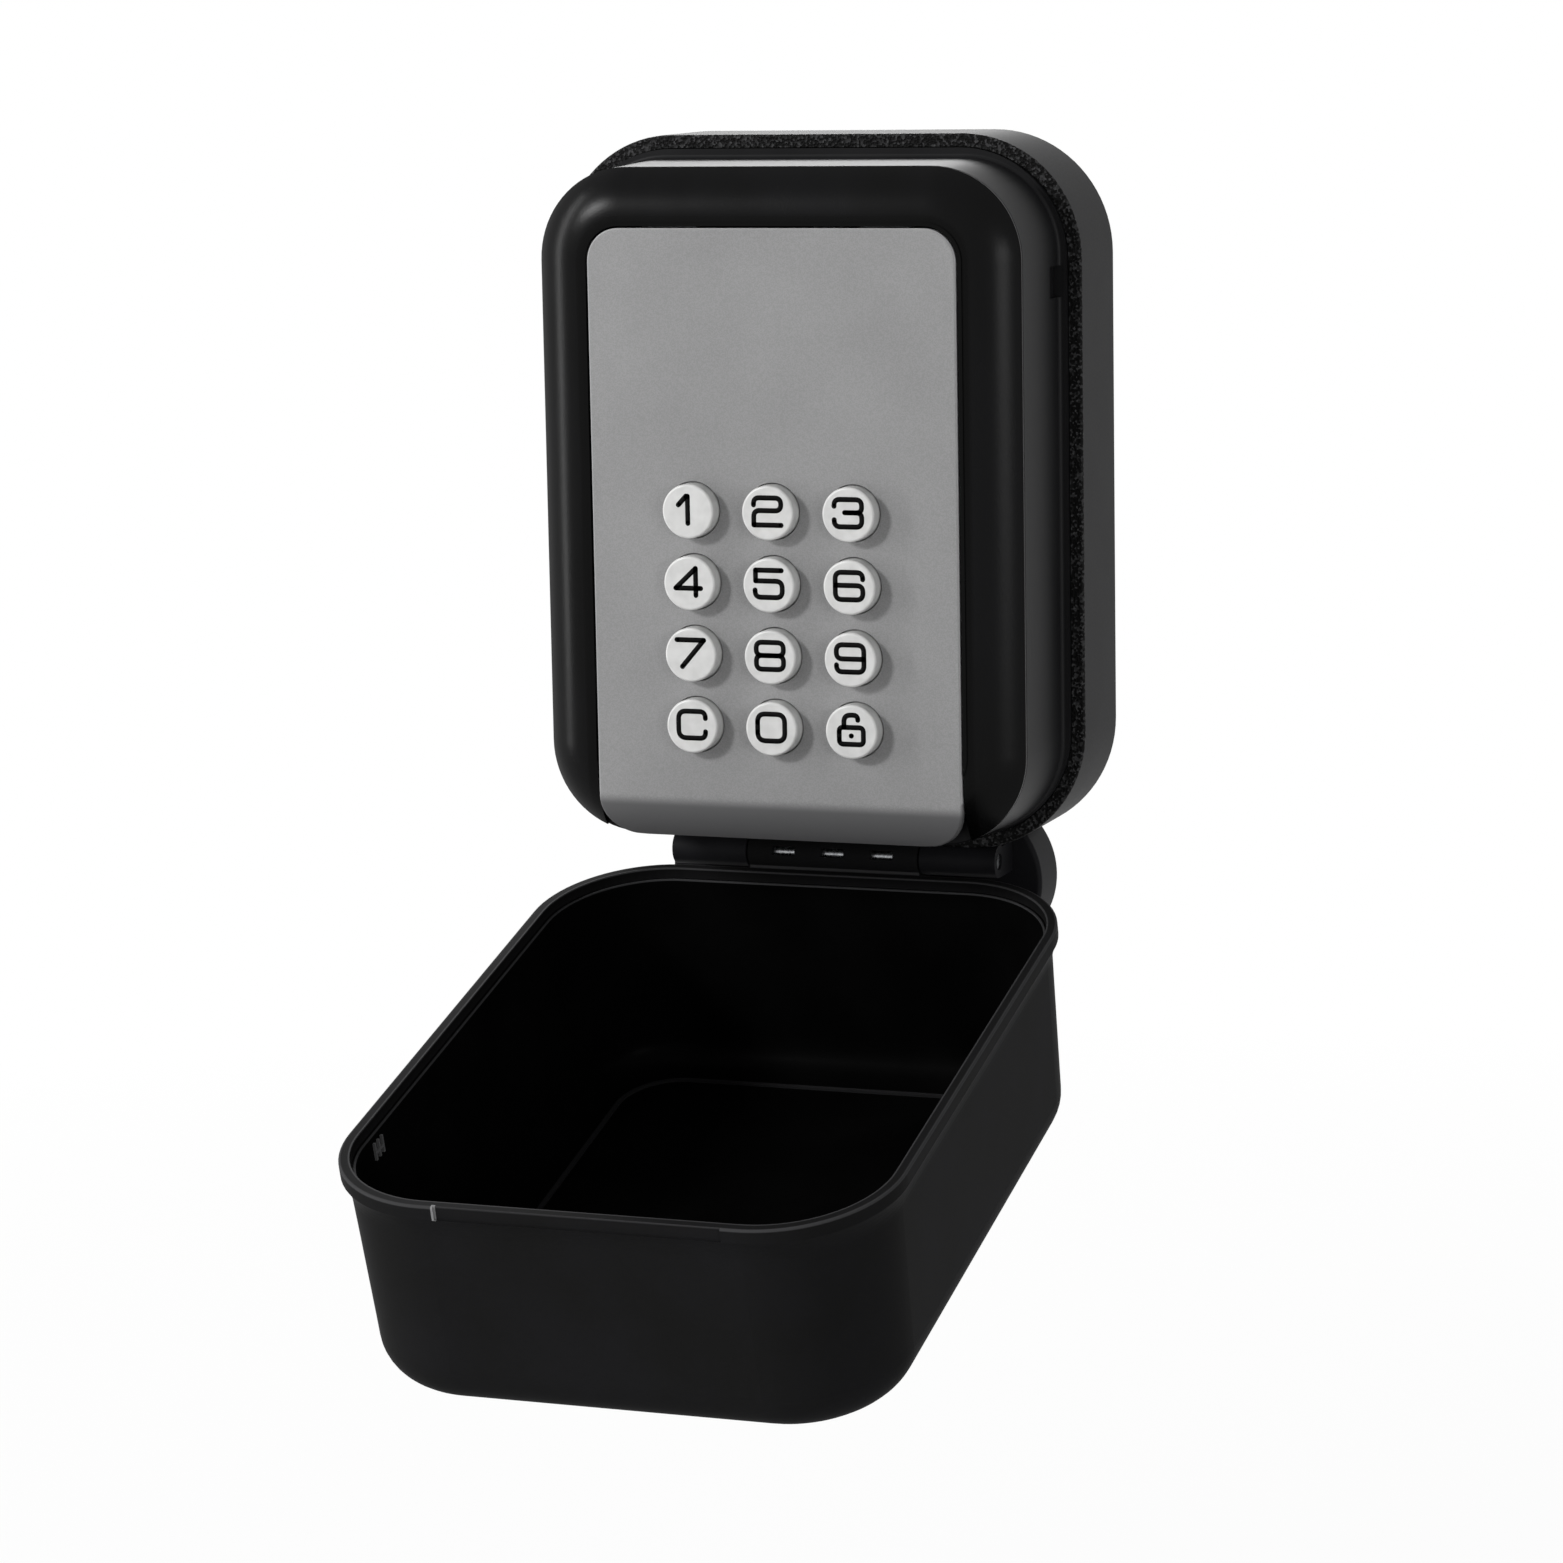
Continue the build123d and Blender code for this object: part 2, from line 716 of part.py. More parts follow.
# Lock screws: heads behind the back cover, threads in the bosses of the door plate
with BuildPart() as lock_screws:
    with BuildSketch(front(back_cover_back)):
        with Locations(*lock_screw_places):
            Circle(screw_head_radius)
    extrude(amount=-screw_head_height)
    with BuildSketch(front(back_cover_back)):
        with Locations(*lock_screw_places):
            Circle(screw_radius)
    extrude(amount=plate_back - back_cover_back)
save(lock_screws, "lock_screws")

# Bezel screws: heads behind the lip of the lock body
with BuildPart() as bezel_screws:
    with BuildSketch(front(ridge_d - body_lip)):
        with Locations(*bezel_screw_places):
            Circle(small_screw_head_radius)
    extrude(amount=-small_screw_head_height)
    with BuildSketch(front(ridge_d - body_lip)):
        with Locations(*bezel_screw_places):
            Circle(small_screw_radius)
    extrude(amount=body_lip + small_screw_bite)
save(bezel_screws, "bezel_screws")

# Case screws: heads on the ears of the lock body, threads in the case bosses
with BuildPart() as case_screws:
    with BuildSketch(front(flange_back + ear_thickness)):
        with Locations(*case_screw_places):
            Circle(screw_head_radius)
    extrude(amount=screw_head_height)
    with BuildSketch(front(flange_back + ear_thickness)):
        with Locations(*case_screw_places):
            Circle(screw_radius)
    extrude(amount=-ear_thickness - screw_bite)
save(case_screws, "case_screws")

# Key hook: small plate on the back wall with a bent wire
with BuildPart() as key_hook:
    with BuildSketch(front(case_back_wall)):
        outline(hook_plate_width, hook_plate_height, hook_plate_radius, hook_plate_z)
        with Locations((0, hook_screw_z)):
            Circle(screw_hole_radius, mode=Mode.SUBTRACT)
    extrude(amount=hook_plate_thickness)
    with BuildLine(Plane.YZ) as hook_wire:
        wire_z = hook_plate_z - hook_wire_drop
        FilletPolyline(
            (-case_back_wall, wire_z),
            (-hook_plate_front - hook_reach_out, wire_z),
            (-hook_plate_front - hook_reach_out, wire_z + hook_rise),
            radius=hook_bend,
        )
    with BuildSketch(front(case_back_wall)):
        with Locations((0, wire_z)):
            Circle(hook_wire_radius)
    sweep(path=hook_wire.line)
save(key_hook, "key_hook")

# Screw of the key hook
with BuildPart() as hook_screw:
    with BuildSketch(front(hook_plate_front)):
        with Locations((0, hook_screw_z)):
            Circle(screw_head_radius)
    extrude(amount=screw_head_height)
    with BuildSketch(front(hook_plate_front)):
        with Locations((0, hook_screw_z)):
            Circle(screw_radius)
    extrude(amount=-hook_plate_thickness - hook_pilot_depth)
save(hook_screw, "hook_screw")

# Hinge bracket: foot plate below the case with two knuckles and the stop bar
with BuildPart() as hinge_bracket:
    with BuildSketch(front(0)):
        with Locations((bracket_shift, bracket_z)):
            SlotOverall(bracket_width, bracket_height)
    extrude(amount=bracket_depth)
    fillet(hinge_bracket.faces().sort_by(Axis.Y)[0].edges(), bracket_edge_round)
    with BuildSketch(front(0)):
        outline(
            case_width + 2 * bracket_seat_gap,
            case_height + 2 * bracket_seat_gap,
            case_radius + bracket_seat_gap,
        )
    extrude(amount=bracket_depth, mode=Mode.SUBTRACT)
    with BuildSketch(front(0)):
        with Locations((0, bottom_z - bracket_seat_gap / 2)):
            Rectangle(bracket_seat_width, bracket_seat_gap)
    extrude(amount=bracket_depth)
    for side in (-1, 1):
        with BuildSketch(hinge_side.offset(side * knuckle_side)):
            with Locations((hinge_y, hinge_z)):
                Circle(knuckle_radius)
            arm_corners = [(hinge_y, arm_bottom), (-bracket_depth, arm_top)]
            with Locations((arm_corners[0][0], arm_corners[0][1])):
                Rectangle(
                    arm_corners[1][0] - arm_corners[0][0],
                    arm_corners[1][1] - arm_corners[0][1],
                    align=Align.MIN,
                )
        extrude(amount=side * fixed_knuckle_width)
    with BuildSketch(hinge_side):
        bar_front_y = hinge_y + knuckle_radius + stop_clear
        with Locations((bar_front_y, arm_bottom)):
            Rectangle(
                -bracket_depth - bar_front_y, arm_top - arm_bottom, align=Align.MIN
            )
    extrude(amount=knuckle_side, both=True)
    with BuildSketch(hinge_side):
        with Locations((hinge_y, hinge_z)):
            Circle(pin_radius + pin_press_gap)
    extrude(amount=bracket_span / 2, both=True, mode=Mode.SUBTRACT)
    with BuildSketch(Plane.XY.offset(bottom_z)):
        with Locations(*bracket_screw_places):
            Circle(screw_pilot_radius)
    extrude(amount=-screw_bite - pilot_spare, mode=Mode.SUBTRACT)
save(hinge_bracket, "hinge_bracket")

# Hinge pin
with BuildPart() as hinge_pin:
    with BuildSketch(hinge_side):
        with Locations((hinge_y, hinge_z)):
            Circle(pin_radius)
    extrude(amount=bracket_span / 2 - pin_end, both=True)
save(hinge_pin, "hinge_pin")

# Bracket screws: heads inside the case, threads in the hinge bracket
with BuildPart() as bracket_screws:
    with BuildSketch(Plane.XY.offset(bottom_z + case_side_wall)):
        with Locations(*bracket_screw_places):
            Circle(screw_head_radius)
    extrude(amount=screw_head_height)
    with BuildSketch(Plane.XY.offset(bottom_z + case_side_wall)):
        with Locations(*bracket_screw_places):
            Circle(screw_radius)
    extrude(amount=-case_side_wall - screw_bite)
save(bracket_screws, "bracket_screws")

# Hollow of the weather cover
cover_axis = Axis(cover_front(0).origin, cover_front(0).z_dir)
with BuildPart() as cover_hollow:
    with BuildSketch(cover_front(0)):
        outline(
            case_width - 2 * cover_inner_inset,
            case_height - 2 * cover_inner_inset,
            case_radius - cover_inner_inset,
        )
    extrude(amount=cover_inner_depth, taper=cover_draft)
    fillet(
        cover_hollow.faces().sort_by(cover_axis)[-1].edges(),
        cover_floor_round - cover_wall,
    )

# Weather cover: drafted deep shell with flared rim and hinge knuckle, drawn open
with BuildPart() as weather_cover:
    with BuildSketch(cover_front(0)):
        outline(
            case_width - 2 * cover_inset,
            case_height - 2 * cover_inset,
            case_radius - cover_inset,
        )
    extrude(amount=cover_depth, taper=cover_draft)
    fillet(weather_cover.faces().sort_by(cover_axis)[-1].edges(), cover_floor_round)
    with BuildSketch(cover_front(0)):
        outline(case_width, case_height, case_radius)
    extrude(amount=rim_depth)
    flare_foot = rim_depth + rim_flare_depth
    flare_reach = cover_inset + flare_foot * tan(radians(cover_draft))
    flare_length = rim_flare_depth / rim_flare_steps
    for step in range(rim_flare_steps):
        flare_near = flare_reach * (1 - (1 - step / rim_flare_steps) ** 2)
        flare_far = flare_reach * (1 - (1 - (step + 1) / rim_flare_steps) ** 2)
        with BuildSketch(cover_front(rim_depth + step * flare_length)):
            outline(
                case_width - 2 * flare_near,
                case_height - 2 * flare_near,
                case_radius - flare_near,
            )
        flare_angle = degrees(atan((flare_far - flare_near) / flare_length))
        extrude(amount=flare_length, taper=flare_angle)
    fillet(weather_cover.faces().sort_by(cover_axis)[0].outer_wire().edges(), rim_edge_round)
    with BuildSketch(cover_front(0)):
        with Locations((0, case_height / 2)):
            Rectangle(recess_width, 2 * recess_depth)
    extrude(amount=rim_depth, mode=Mode.SUBTRACT)
    cover_side = Plane(hinge_turn * hinge_side.location)
    with BuildSketch(cover_side):
        with BuildLine():
            rim_y = hinge_y - hinge_behind_rim - web_gap
            web_z = bottom_z - web_gap
            Polyline(
                (hinge_y, web_z),
                (rim_y, web_z),
                (rim_y, bottom_z + web_bite),
                (hinge_y - web_reach, bottom_z + web_root),
                (hinge_y - web_reach, bottom_z + web_root - web_gap),
                (hinge_y - web_low, hinge_z - knuckle_radius / 2),
                close=True,
            )
        make_face()
    extrude(amount=middle_knuckle_width / 2, both=True)
    add(cover_hollow.part, mode=Mode.SUBTRACT)
    with BuildSketch(cover_front(0)):
        outline(
            case_width - 2 * rim_step_wall,
            case_height - 2 * rim_step_wall,
            case_radius - rim_step_wall,
        )
    extrude(amount=rim_step_depth, mode=Mode.SUBTRACT)
    with BuildSketch(cover_front(cover_inner_depth)):
        outline(
            case_width - 2 * border_inset,
            case_height - 2 * border_inset,
            case_radius - border_inset,
        )
        offset(amount=-floor_border_width, mode=Mode.SUBTRACT)
    extrude(amount=-floor_border_height)
    comb_x = case_width / 2 - cover_inner_inset
    comb_z = case_height / 2 - rib_drop
    comb_length = (rib_count - 1) * rib_pitch + rib_thickness
    with BuildSketch(cover_front(rib_depth)):
        with Locations((-comb_x, comb_z), (comb_x, comb_z)):
            with GridLocations(1, rib_pitch, 1, rib_count):
                Rectangle(2 * rib_height, rib_thickness)
    extrude(amount=rib_length)
    with BuildSketch(cover_front(rib_depth + rib_length / 2)):
        with Locations((-comb_x, comb_z), (comb_x, comb_z)):
            Rectangle(2 * rib_height, comb_length)
    extrude(amount=rib_thickness)
    with BuildSketch(hinge_side):
        with Locations((hinge_y, hinge_z)):
            Circle(knuckle_radius)
    extrude(amount=middle_knuckle_width / 2, both=True)
    with BuildSketch(hinge_side):
        with BuildLine():
            stop_top = hinge_z - knuckle_radius - stop_gap
            stop_far = hinge_y + knuckle_radius + stop_reach
            Polyline(
                (hinge_y, hinge_z - knuckle_radius + stop_clear),
                (hinge_y + stop_foot, hinge_z - knuckle_radius + stop_clear),
                (hinge_y + knuckle_radius, stop_top),
                (stop_far, stop_top),
                (stop_far, stop_top - stop_thickness),
                (hinge_y + stop_foot, stop_top - stop_thickness),
                close=True,
            )
        make_face()
    extrude(amount=middle_knuckle_width / 2, both=True)
    with BuildSketch(hinge_side):
        with Locations((hinge_y, hinge_z)):
            Circle(pin_radius + pin_running_gap)
    extrude(amount=middle_knuckle_width / 2, both=True, mode=Mode.SUBTRACT)
    slot_angle = radians(core_slot_angle)
    slot_out = (0, -cos(slot_angle), sin(slot_angle))
    slot_face = Plane(
        origin=(hinge_shift, hinge_y, hinge_z), x_dir=(1, 0, 0), z_dir=slot_out
    ).offset(knuckle_radius)
    with BuildSketch(slot_face):
        with GridLocations(slot_pitch, 1, slot_count, 1):
            Rectangle(core_slot_length, core_slot_height)
    extrude(amount=-core_slot_depth, mode=Mode.SUBTRACT)
save(weather_cover, "weather_cover")
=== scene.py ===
import json
from math import cos, pi, radians, sin, tan

import bmesh
import bpy
from mathutils import Matrix, Vector


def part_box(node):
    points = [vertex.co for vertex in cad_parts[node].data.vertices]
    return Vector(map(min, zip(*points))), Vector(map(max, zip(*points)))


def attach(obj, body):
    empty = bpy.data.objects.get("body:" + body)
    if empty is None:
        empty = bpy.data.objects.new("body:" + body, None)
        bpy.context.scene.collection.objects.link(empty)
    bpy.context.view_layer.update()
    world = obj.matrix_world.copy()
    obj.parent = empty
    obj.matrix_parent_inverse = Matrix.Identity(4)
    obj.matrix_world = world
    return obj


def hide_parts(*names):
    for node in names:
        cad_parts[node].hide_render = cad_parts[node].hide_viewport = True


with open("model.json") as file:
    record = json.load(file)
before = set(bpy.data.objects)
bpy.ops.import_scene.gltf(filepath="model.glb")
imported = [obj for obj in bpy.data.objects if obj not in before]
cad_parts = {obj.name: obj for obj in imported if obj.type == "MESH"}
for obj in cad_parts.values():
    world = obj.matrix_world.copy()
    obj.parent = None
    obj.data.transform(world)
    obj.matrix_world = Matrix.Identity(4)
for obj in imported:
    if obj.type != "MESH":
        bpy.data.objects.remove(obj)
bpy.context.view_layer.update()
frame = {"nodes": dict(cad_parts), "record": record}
nodes = frame["nodes"]
bodyOf = {
    node: body
    for body, members in frame["record"]["behaviour"]["bodies"].items()
    for node in members
}
mm = 0.001
print("frame:", len(nodes), "nodes loaded")


# Small helpers for materials and geometry trees
def hexColour(code):
    # sRGB hex to the linear values that shaders take
    values = [int(code[i:i + 2], 16) / 255 for i in (1, 3, 5)]
    return [v / 12.92 if v <= 0.04045 else ((v + 0.055) / 1.055) ** 2.4 for v in values] + [1.0]


def addNode(tree, kind, inputs=None, **settings):
    # adds a node, sets its options and fills or links its inputs
    node = tree.nodes.new(kind)
    for name, value in settings.items():
        setattr(node, name, value)
    for name, value in (inputs or {}).items():
        if isinstance(value, bpy.types.NodeSocket):
            tree.links.new(value, node.inputs[name])
        else:
            node.inputs[name].default_value = value
    return node


def perMm(size):
    # noise scale whose features are about this many millimetres wide
    return 1.0 / (size * mm)


def startMaterial(name):
    # an empty node material, with the place on the piece that its patterns follow
    material = bpy.data.materials.new(name)
    material.use_nodes = True
    tree = material.node_tree
    tree.nodes.clear()
    place = addNode(tree, "ShaderNodeTexCoord").outputs["Object"]
    return material, tree, place


def finishMaterial(tree, inputs):
    shader = addNode(tree, "ShaderNodeBsdfPrincipled", inputs)
    addNode(tree, "ShaderNodeOutputMaterial", {"Surface": shader.outputs["BSDF"]})


def twoTone(tree, factor, low, high, lowAt=0.35, highAt=0.65):
    # colour ramp between two hex colours
    ramp = addNode(tree, "ShaderNodeValToRGB", {"Fac": factor})
    ramp.color_ramp.elements[0].position = lowAt
    ramp.color_ramp.elements[0].color = hexColour(low)
    ramp.color_ramp.elements[1].position = highAt
    ramp.color_ramp.elements[1].color = hexColour(high)
    return ramp.outputs["Color"]


def between(tree, factor, low, high):
    # maps 0..1 to a range of plain numbers
    return addNode(
        tree, "ShaderNodeMapRange", {"Value": factor, "To Min": low, "To Max": high}
    ).outputs["Result"]


def outlineReach(tree, spot, flat):
    # how far a point lies in x and z past the flat part of a rounded outline
    past = addNode(tree, "ShaderNodeVectorMath", {0: spot, 1: flat}, operation="SUBTRACT")
    level = addNode(
        tree, "ShaderNodeVectorMath", {0: past.outputs["Vector"], 1: (1, 0, 1)}, operation="MULTIPLY"
    )
    beyond = addNode(
        tree, "ShaderNodeVectorMath", {0: level.outputs["Vector"], 1: (0, 0, 0)}, operation="MAXIMUM"
    )
    return addNode(
        tree, "ShaderNodeVectorMath", {0: beyond.outputs["Vector"]}, operation="LENGTH"
    ).outputs["Value"]


def addObject(name, data):
    # puts a mesh, curve, camera or lamp into the scene
    thing = bpy.data.objects.new(name, data)
    bpy.context.scene.collection.objects.link(thing)
    return thing


# Powder-coated die-cast zinc: satin flanks and a front strip whose grain sparkles. Real powder
# has grains of about 0.1 mm; the strip's are drawn coarser so that they show. Sizes in mm.
casePaint = {
    "dark": "#1c1c1d", "light": "#212122", "cloud": 14, "roughness": 0.5, "roughSpread": 0.05,
    "specular": 0.05, "grain": 0.45, "bump": 0.05, "bumpDepth": 0.2,
    "strip": "#0a0a0a", "sparkle": "#464647", "sparkleFrom": 0.55, "sparkleTo": 0.95,
    "stripFrom": 0.75, "stripTo": 0.35, "stripGrain": 0.42, "stripBump": 0.35, "stripBumpDepth": 0.3,
}


def makeCasePaint(name, look, front):
    # front: how far the strip stands out from the wall, in mm
    material, tree, place = startMaterial(name)
    depth = addNode(tree, "ShaderNodeSeparateXYZ", {"Vector": place}).outputs["Y"]
    onStrip = addNode(
        tree, "ShaderNodeMapRange",
        {
            "Value": depth, "From Min": (look["stripFrom"] - front) * mm,
            "From Max": (look["stripTo"] - front) * mm,
        },
    ).outputs["Result"]
    cloud = addNode(
        tree, "ShaderNodeTexNoise", {"Vector": place, "Scale": perMm(look["cloud"]), "Detail": 3.0}
    )
    fine = addNode(
        tree, "ShaderNodeTexNoise", {"Vector": place, "Scale": perMm(look["grain"]), "Detail": 2.0}
    )
    coarse = addNode(
        tree, "ShaderNodeTexVoronoi", {"Vector": place, "Scale": perMm(look["stripGrain"])}
    )
    flank = twoTone(tree, cloud.outputs["Fac"], look["dark"], look["light"])
    speckle = twoTone(
        tree, coarse.outputs["Color"], look["strip"], look["sparkle"], look["sparkleFrom"],
        look["sparkleTo"],
    )
    colour = addNode(tree, "ShaderNodeMix", {0: onStrip, 6: flank, 7: speckle}, data_type="RGBA")
    softBump = addNode(
        tree, "ShaderNodeBump",
        {"Height": fine.outputs["Fac"], "Strength": look["bump"], "Distance": look["bumpDepth"] * mm},
    )
    stripBump = addNode(
        tree, "ShaderNodeBump",
        {
            "Height": coarse.outputs["Distance"], "Distance": look["stripBumpDepth"] * mm,
            "Strength": between(tree, onStrip, 0.0, look["stripBump"]),
            "Normal": softBump.outputs["Normal"],
        },
    )
    rough, spread = look["roughness"], look["roughSpread"]
    finishMaterial(tree, {
        "Base Color": colour.outputs[2], "Specular IOR Level": look["specular"],
        "Roughness": between(tree, fine.outputs["Fac"], rough - spread, rough + spread),
        "Normal": stripBump.outputs["Normal"],
    })
    return material


# Black satin finishes: one row of tones, roughness and grain size in mm for each. Real grain
# of 0.05 to 0.1 mm is too fine to show and is drawn at these sizes.
satinBlacks = {
    # sprayed black enamel on the cast body: even, slightly soft highlights
    "satinEnamelBody": dict(
        dark="#141415", light="#19191a", roughness=0.42, specular=0.08, grain=0.25, bump=0.05
    ),
    # moulded ABS with a fine spark-eroded texture: broad dull highlights on the bezel
    "texturedAbsBezel": dict(
        dark="#080808", light="#0c0c0d", roughness=0.25, specular=0.07, grain=0.3, bump=0.10
    ),
    # the case's powder coat on the small bracket casting: dull, with a trace of grain
    "powderCoatBracket": dict(
        dark="#161618", light="#1e1e20", roughness=0.5, specular=0.04, grain=0.3, bump=0.12
    ),
    # moulded black nylon guide: dull, a little waxy
    "nylonGuide": dict(
        dark="#18181a", light="#202022", roughness=0.5, specular=0.4, grain=0.5, bump=0.05
    ),
}
# what they share: clouds and grain depth in mm, and how far the roughness strays
satinSkin = {"cloud": 18, "stretch": 0.35, "bumpDepth": 0.15, "smoother": 0.04, "rougher": 0.06}
# band of the bezel beside the door opening, painted darker as painted shade: mm from the opening's middle
openingShadeBand = {
    "halfWidth": 28.45, "cornerTop": 42.95, "radius": 6.2, "width": 1.9, "fade": 0.5, "colour": "#040404",
}


def paintOpeningShade(tree, place, colour, band):
    at = addNode(tree, "ShaderNodeSeparateXYZ", {"Vector": place}).outputs
    sideways = addNode(tree, "ShaderNodeMath", {0: at["X"]}, operation="ABSOLUTE")
    folded = addNode(tree, "ShaderNodeCombineXYZ", {"X": sideways.outputs["Value"], "Z": at["Z"]})
    reach = outlineReach(
        tree, folded.outputs["Vector"], (band["halfWidth"] * mm, 0, band["cornerTop"] * mm)
    )
    edge = band["radius"] + band["width"]
    near = addNode(
        tree, "ShaderNodeMapRange",
        {
            "Value": reach, "From Min": (edge + band["fade"]) * mm,
            "From Max": (edge - band["fade"]) * mm,
        },
        interpolation_type="SMOOTHSTEP",
    )
    return addNode(
        tree, "ShaderNodeMix",
        {0: near.outputs["Result"], 6: colour, 7: hexColour(band["colour"])}, data_type="RGBA",
    ).outputs[2]


def makeSatinBlack(name, look, band=None):
    material, tree, place = startMaterial(name)
    stretched = addNode(
        tree, "ShaderNodeMapping", {"Vector": place, "Scale": (1.0, 1.0, satinSkin["stretch"])}
    )
    cloud = addNode(
        tree, "ShaderNodeTexNoise",
        {"Vector": stretched.outputs["Vector"], "Scale": perMm(satinSkin["cloud"]), "Detail": 4.0},
    )
    fine = addNode(
        tree, "ShaderNodeTexNoise", {"Vector": place, "Scale": perMm(look["grain"]), "Detail": 3.0}
    )
    bump = addNode(
        tree, "ShaderNodeBump",
        {
            "Height": fine.outputs["Fac"], "Strength": look["bump"],
            "Distance": satinSkin["bumpDepth"] * mm,
        },
    )
    colour = twoTone(tree, cloud.outputs["Fac"], look["dark"], look["light"])
    # painted shade: the band beside the door opening is painted darker
    if band:
        colour = paintOpeningShade(tree, place, colour, band)
    finishMaterial(tree, {
        "Base Color": colour,
        "Roughness": between(
            tree, cloud.outputs["Fac"],
            look["roughness"] - satinSkin["smoother"], look["roughness"] + satinSkin["rougher"],
        ),
        "Specular IOR Level": look["specular"], "Normal": bump.outputs["Normal"],
    })
    return material


# Injection-moulded polypropylene cover: spark-eroded satin outside; inside, a polished core side
# whose darker tone is partly painted shade in the hollow; and rim edges painted lighter as painted
# highlights. Its grain is drawn coarser than real spark erosion, which is under 0.1 mm.
coverPlastic = {
    "outsideDark": "#191919", "outsideLight": "#1b1b1c", "insideDark": "#050505", "insideLight": "#080808",
    "edge": "#3c3c3d", "ridge": "#262627", "comb": "#5c5c5d", "notchHighlight": "#808081",
    "outsideRoughness": 0.52, "insideRoughness": 0.30, "specular": 0.007,
    "cloud": 16, "grain": 0.4, "bump": 0.06, "bumpDepth": 0.15,
}
# its mould sizes in mm, in the closed cover's frame: reach runs outward from the flat part of
# the outline and depth runs forward from the rim
coverMould = {
    "flatHalfWidth": 27.5, "flatHalfHeight": 42.25, "rimRadius": 22.0, "draft": 1.75,
    "midWall": 1.9, "midDepth": 40.3, "midRound": 7.3, "skinFade": 0.1,
    "beadWidth": 0.5, "edgeWidth": 0.32, "edgeCore": 0.6,
    "stepWall": 1.9, "stepDepth": 2.0, "innerWall": 2.6,
    "borderReach": 10.8, "borderWidth": 0.5, "borderDepth": 39.4, "borderRise": 0.5,
    "combReach": 18.85, "combWide": 0.3, "combDepth": 4.8, "combLong": 2.0,
    "recessEnd": -25.0, "recessFace": 64.0, "notchHighlightWide": 0.35, "notchHighlightHigh": 0.5, "notchHighlightDepth": 2.6,
}


def closedCoverSpot(tree, place):
    # moves a point of the open cover to where it lies when the cover is shut
    joints = frame["record"]["behaviour"]["joints"]
    hinge = next(joint for joint in joints if joint["name"] == "cover_hinge")
    turn = -radians(hinge["range_deg"][1])
    pivot = Vector(hinge["pos_m"])
    shift = pivot - Matrix.Rotation(turn, 3, "X") @ pivot
    return addNode(
        tree, "ShaderNodeMapping", {"Vector": place, "Rotation": (turn, 0, 0), "Location": shift}
    ).outputs["Vector"]


def coreSide(tree, reach, depth, mould):
    # 1 inside the surface that runs through the middle of the drafted wall and the floor
    drafted = addNode(
        tree, "ShaderNodeMath", {0: depth, 1: tan(radians(mould["draft"])), 2: reach},
        operation="MULTIPLY_ADD",
    )
    across = addNode(
        tree, "ShaderNodeMath",
        {
            0: drafted.outputs["Value"],
            1: (mould["rimRadius"] - mould["midWall"] - mould["midRound"]) * mm,
        },
        operation="SUBTRACT",
    )
    down = addNode(
        tree, "ShaderNodeMath", {0: depth, 1: (mould["midDepth"] - mould["midRound"]) * mm},
        operation="SUBTRACT",
    )
    corner = addNode(
        tree, "ShaderNodeCombineXYZ", {"X": across.outputs["Value"], "Y": down.outputs["Value"]}
    )
    inCorner = addNode(
        tree, "ShaderNodeVectorMath", {0: corner.outputs["Vector"], 1: (0, 0, 0)}, operation="MAXIMUM"
    )
    fromCorner = addNode(
        tree, "ShaderNodeVectorMath", {0: inCorner.outputs["Vector"]}, operation="LENGTH"
    )
    return addNode(
        tree, "ShaderNodeMapRange",
        {
            "Value": fromCorner.outputs["Value"],
            "From Min": (mould["midRound"] + mould["skinFade"]) * mm,
            "From Max": (mould["midRound"] - mould["skinFade"]) * mm,
        },
    ).outputs["Result"]


def rimEdgeHighlights(tree, reach, depth, mould):
    # 1 on the rim's outer bead, on its inner edge and on the edge of the step below, where painted highlights
    # go
    onEdge = 0.0
    rim = mould["rimRadius"]
    for radius, drop, wide in (
        (rim, 0.0, mould["beadWidth"]),
        (rim - mould["stepWall"], 0.0, mould["edgeWidth"]),
        (rim - mould["innerWall"], mould["stepDepth"], mould["edgeWidth"]),
    ):
        aside = addNode(tree, "ShaderNodeMath", {0: reach, 1: radius * mm}, operation="SUBTRACT")
        below = addNode(tree, "ShaderNodeMath", {0: depth, 1: drop * mm}, operation="SUBTRACT")
        spot = addNode(
            tree, "ShaderNodeCombineXYZ", {"X": aside.outputs["Value"], "Y": below.outputs["Value"]}
        )
        away = addNode(tree, "ShaderNodeVectorMath", {0: spot.outputs["Vector"]}, operation="LENGTH")
        line = addNode(
            tree, "ShaderNodeMapRange",
            {
                "Value": away.outputs["Value"], "From Min": wide * mm,
                "From Max": mould["edgeCore"] * wide * mm,
            },
        )
        onEdge = addNode(
            tree, "ShaderNodeMath", {0: onEdge, 1: line.outputs["Result"]}, operation="MAXIMUM"
        ).outputs["Value"]
    return onEdge


def allNear(tree, rows):
    # 1 where every socket is within its half width of its centre, both in mm
    mark = 1.0
    for socket, centre, half in rows:
        near = addNode(
            tree, "ShaderNodeMath", {0: socket, 1: centre * mm, 2: half * mm}, operation="COMPARE"
        )
        mark = addNode(
            tree, "ShaderNodeMath", {0: near.outputs["Value"], 1: mark}, operation="MULTIPLY"
        ).outputs["Value"]
    return mark


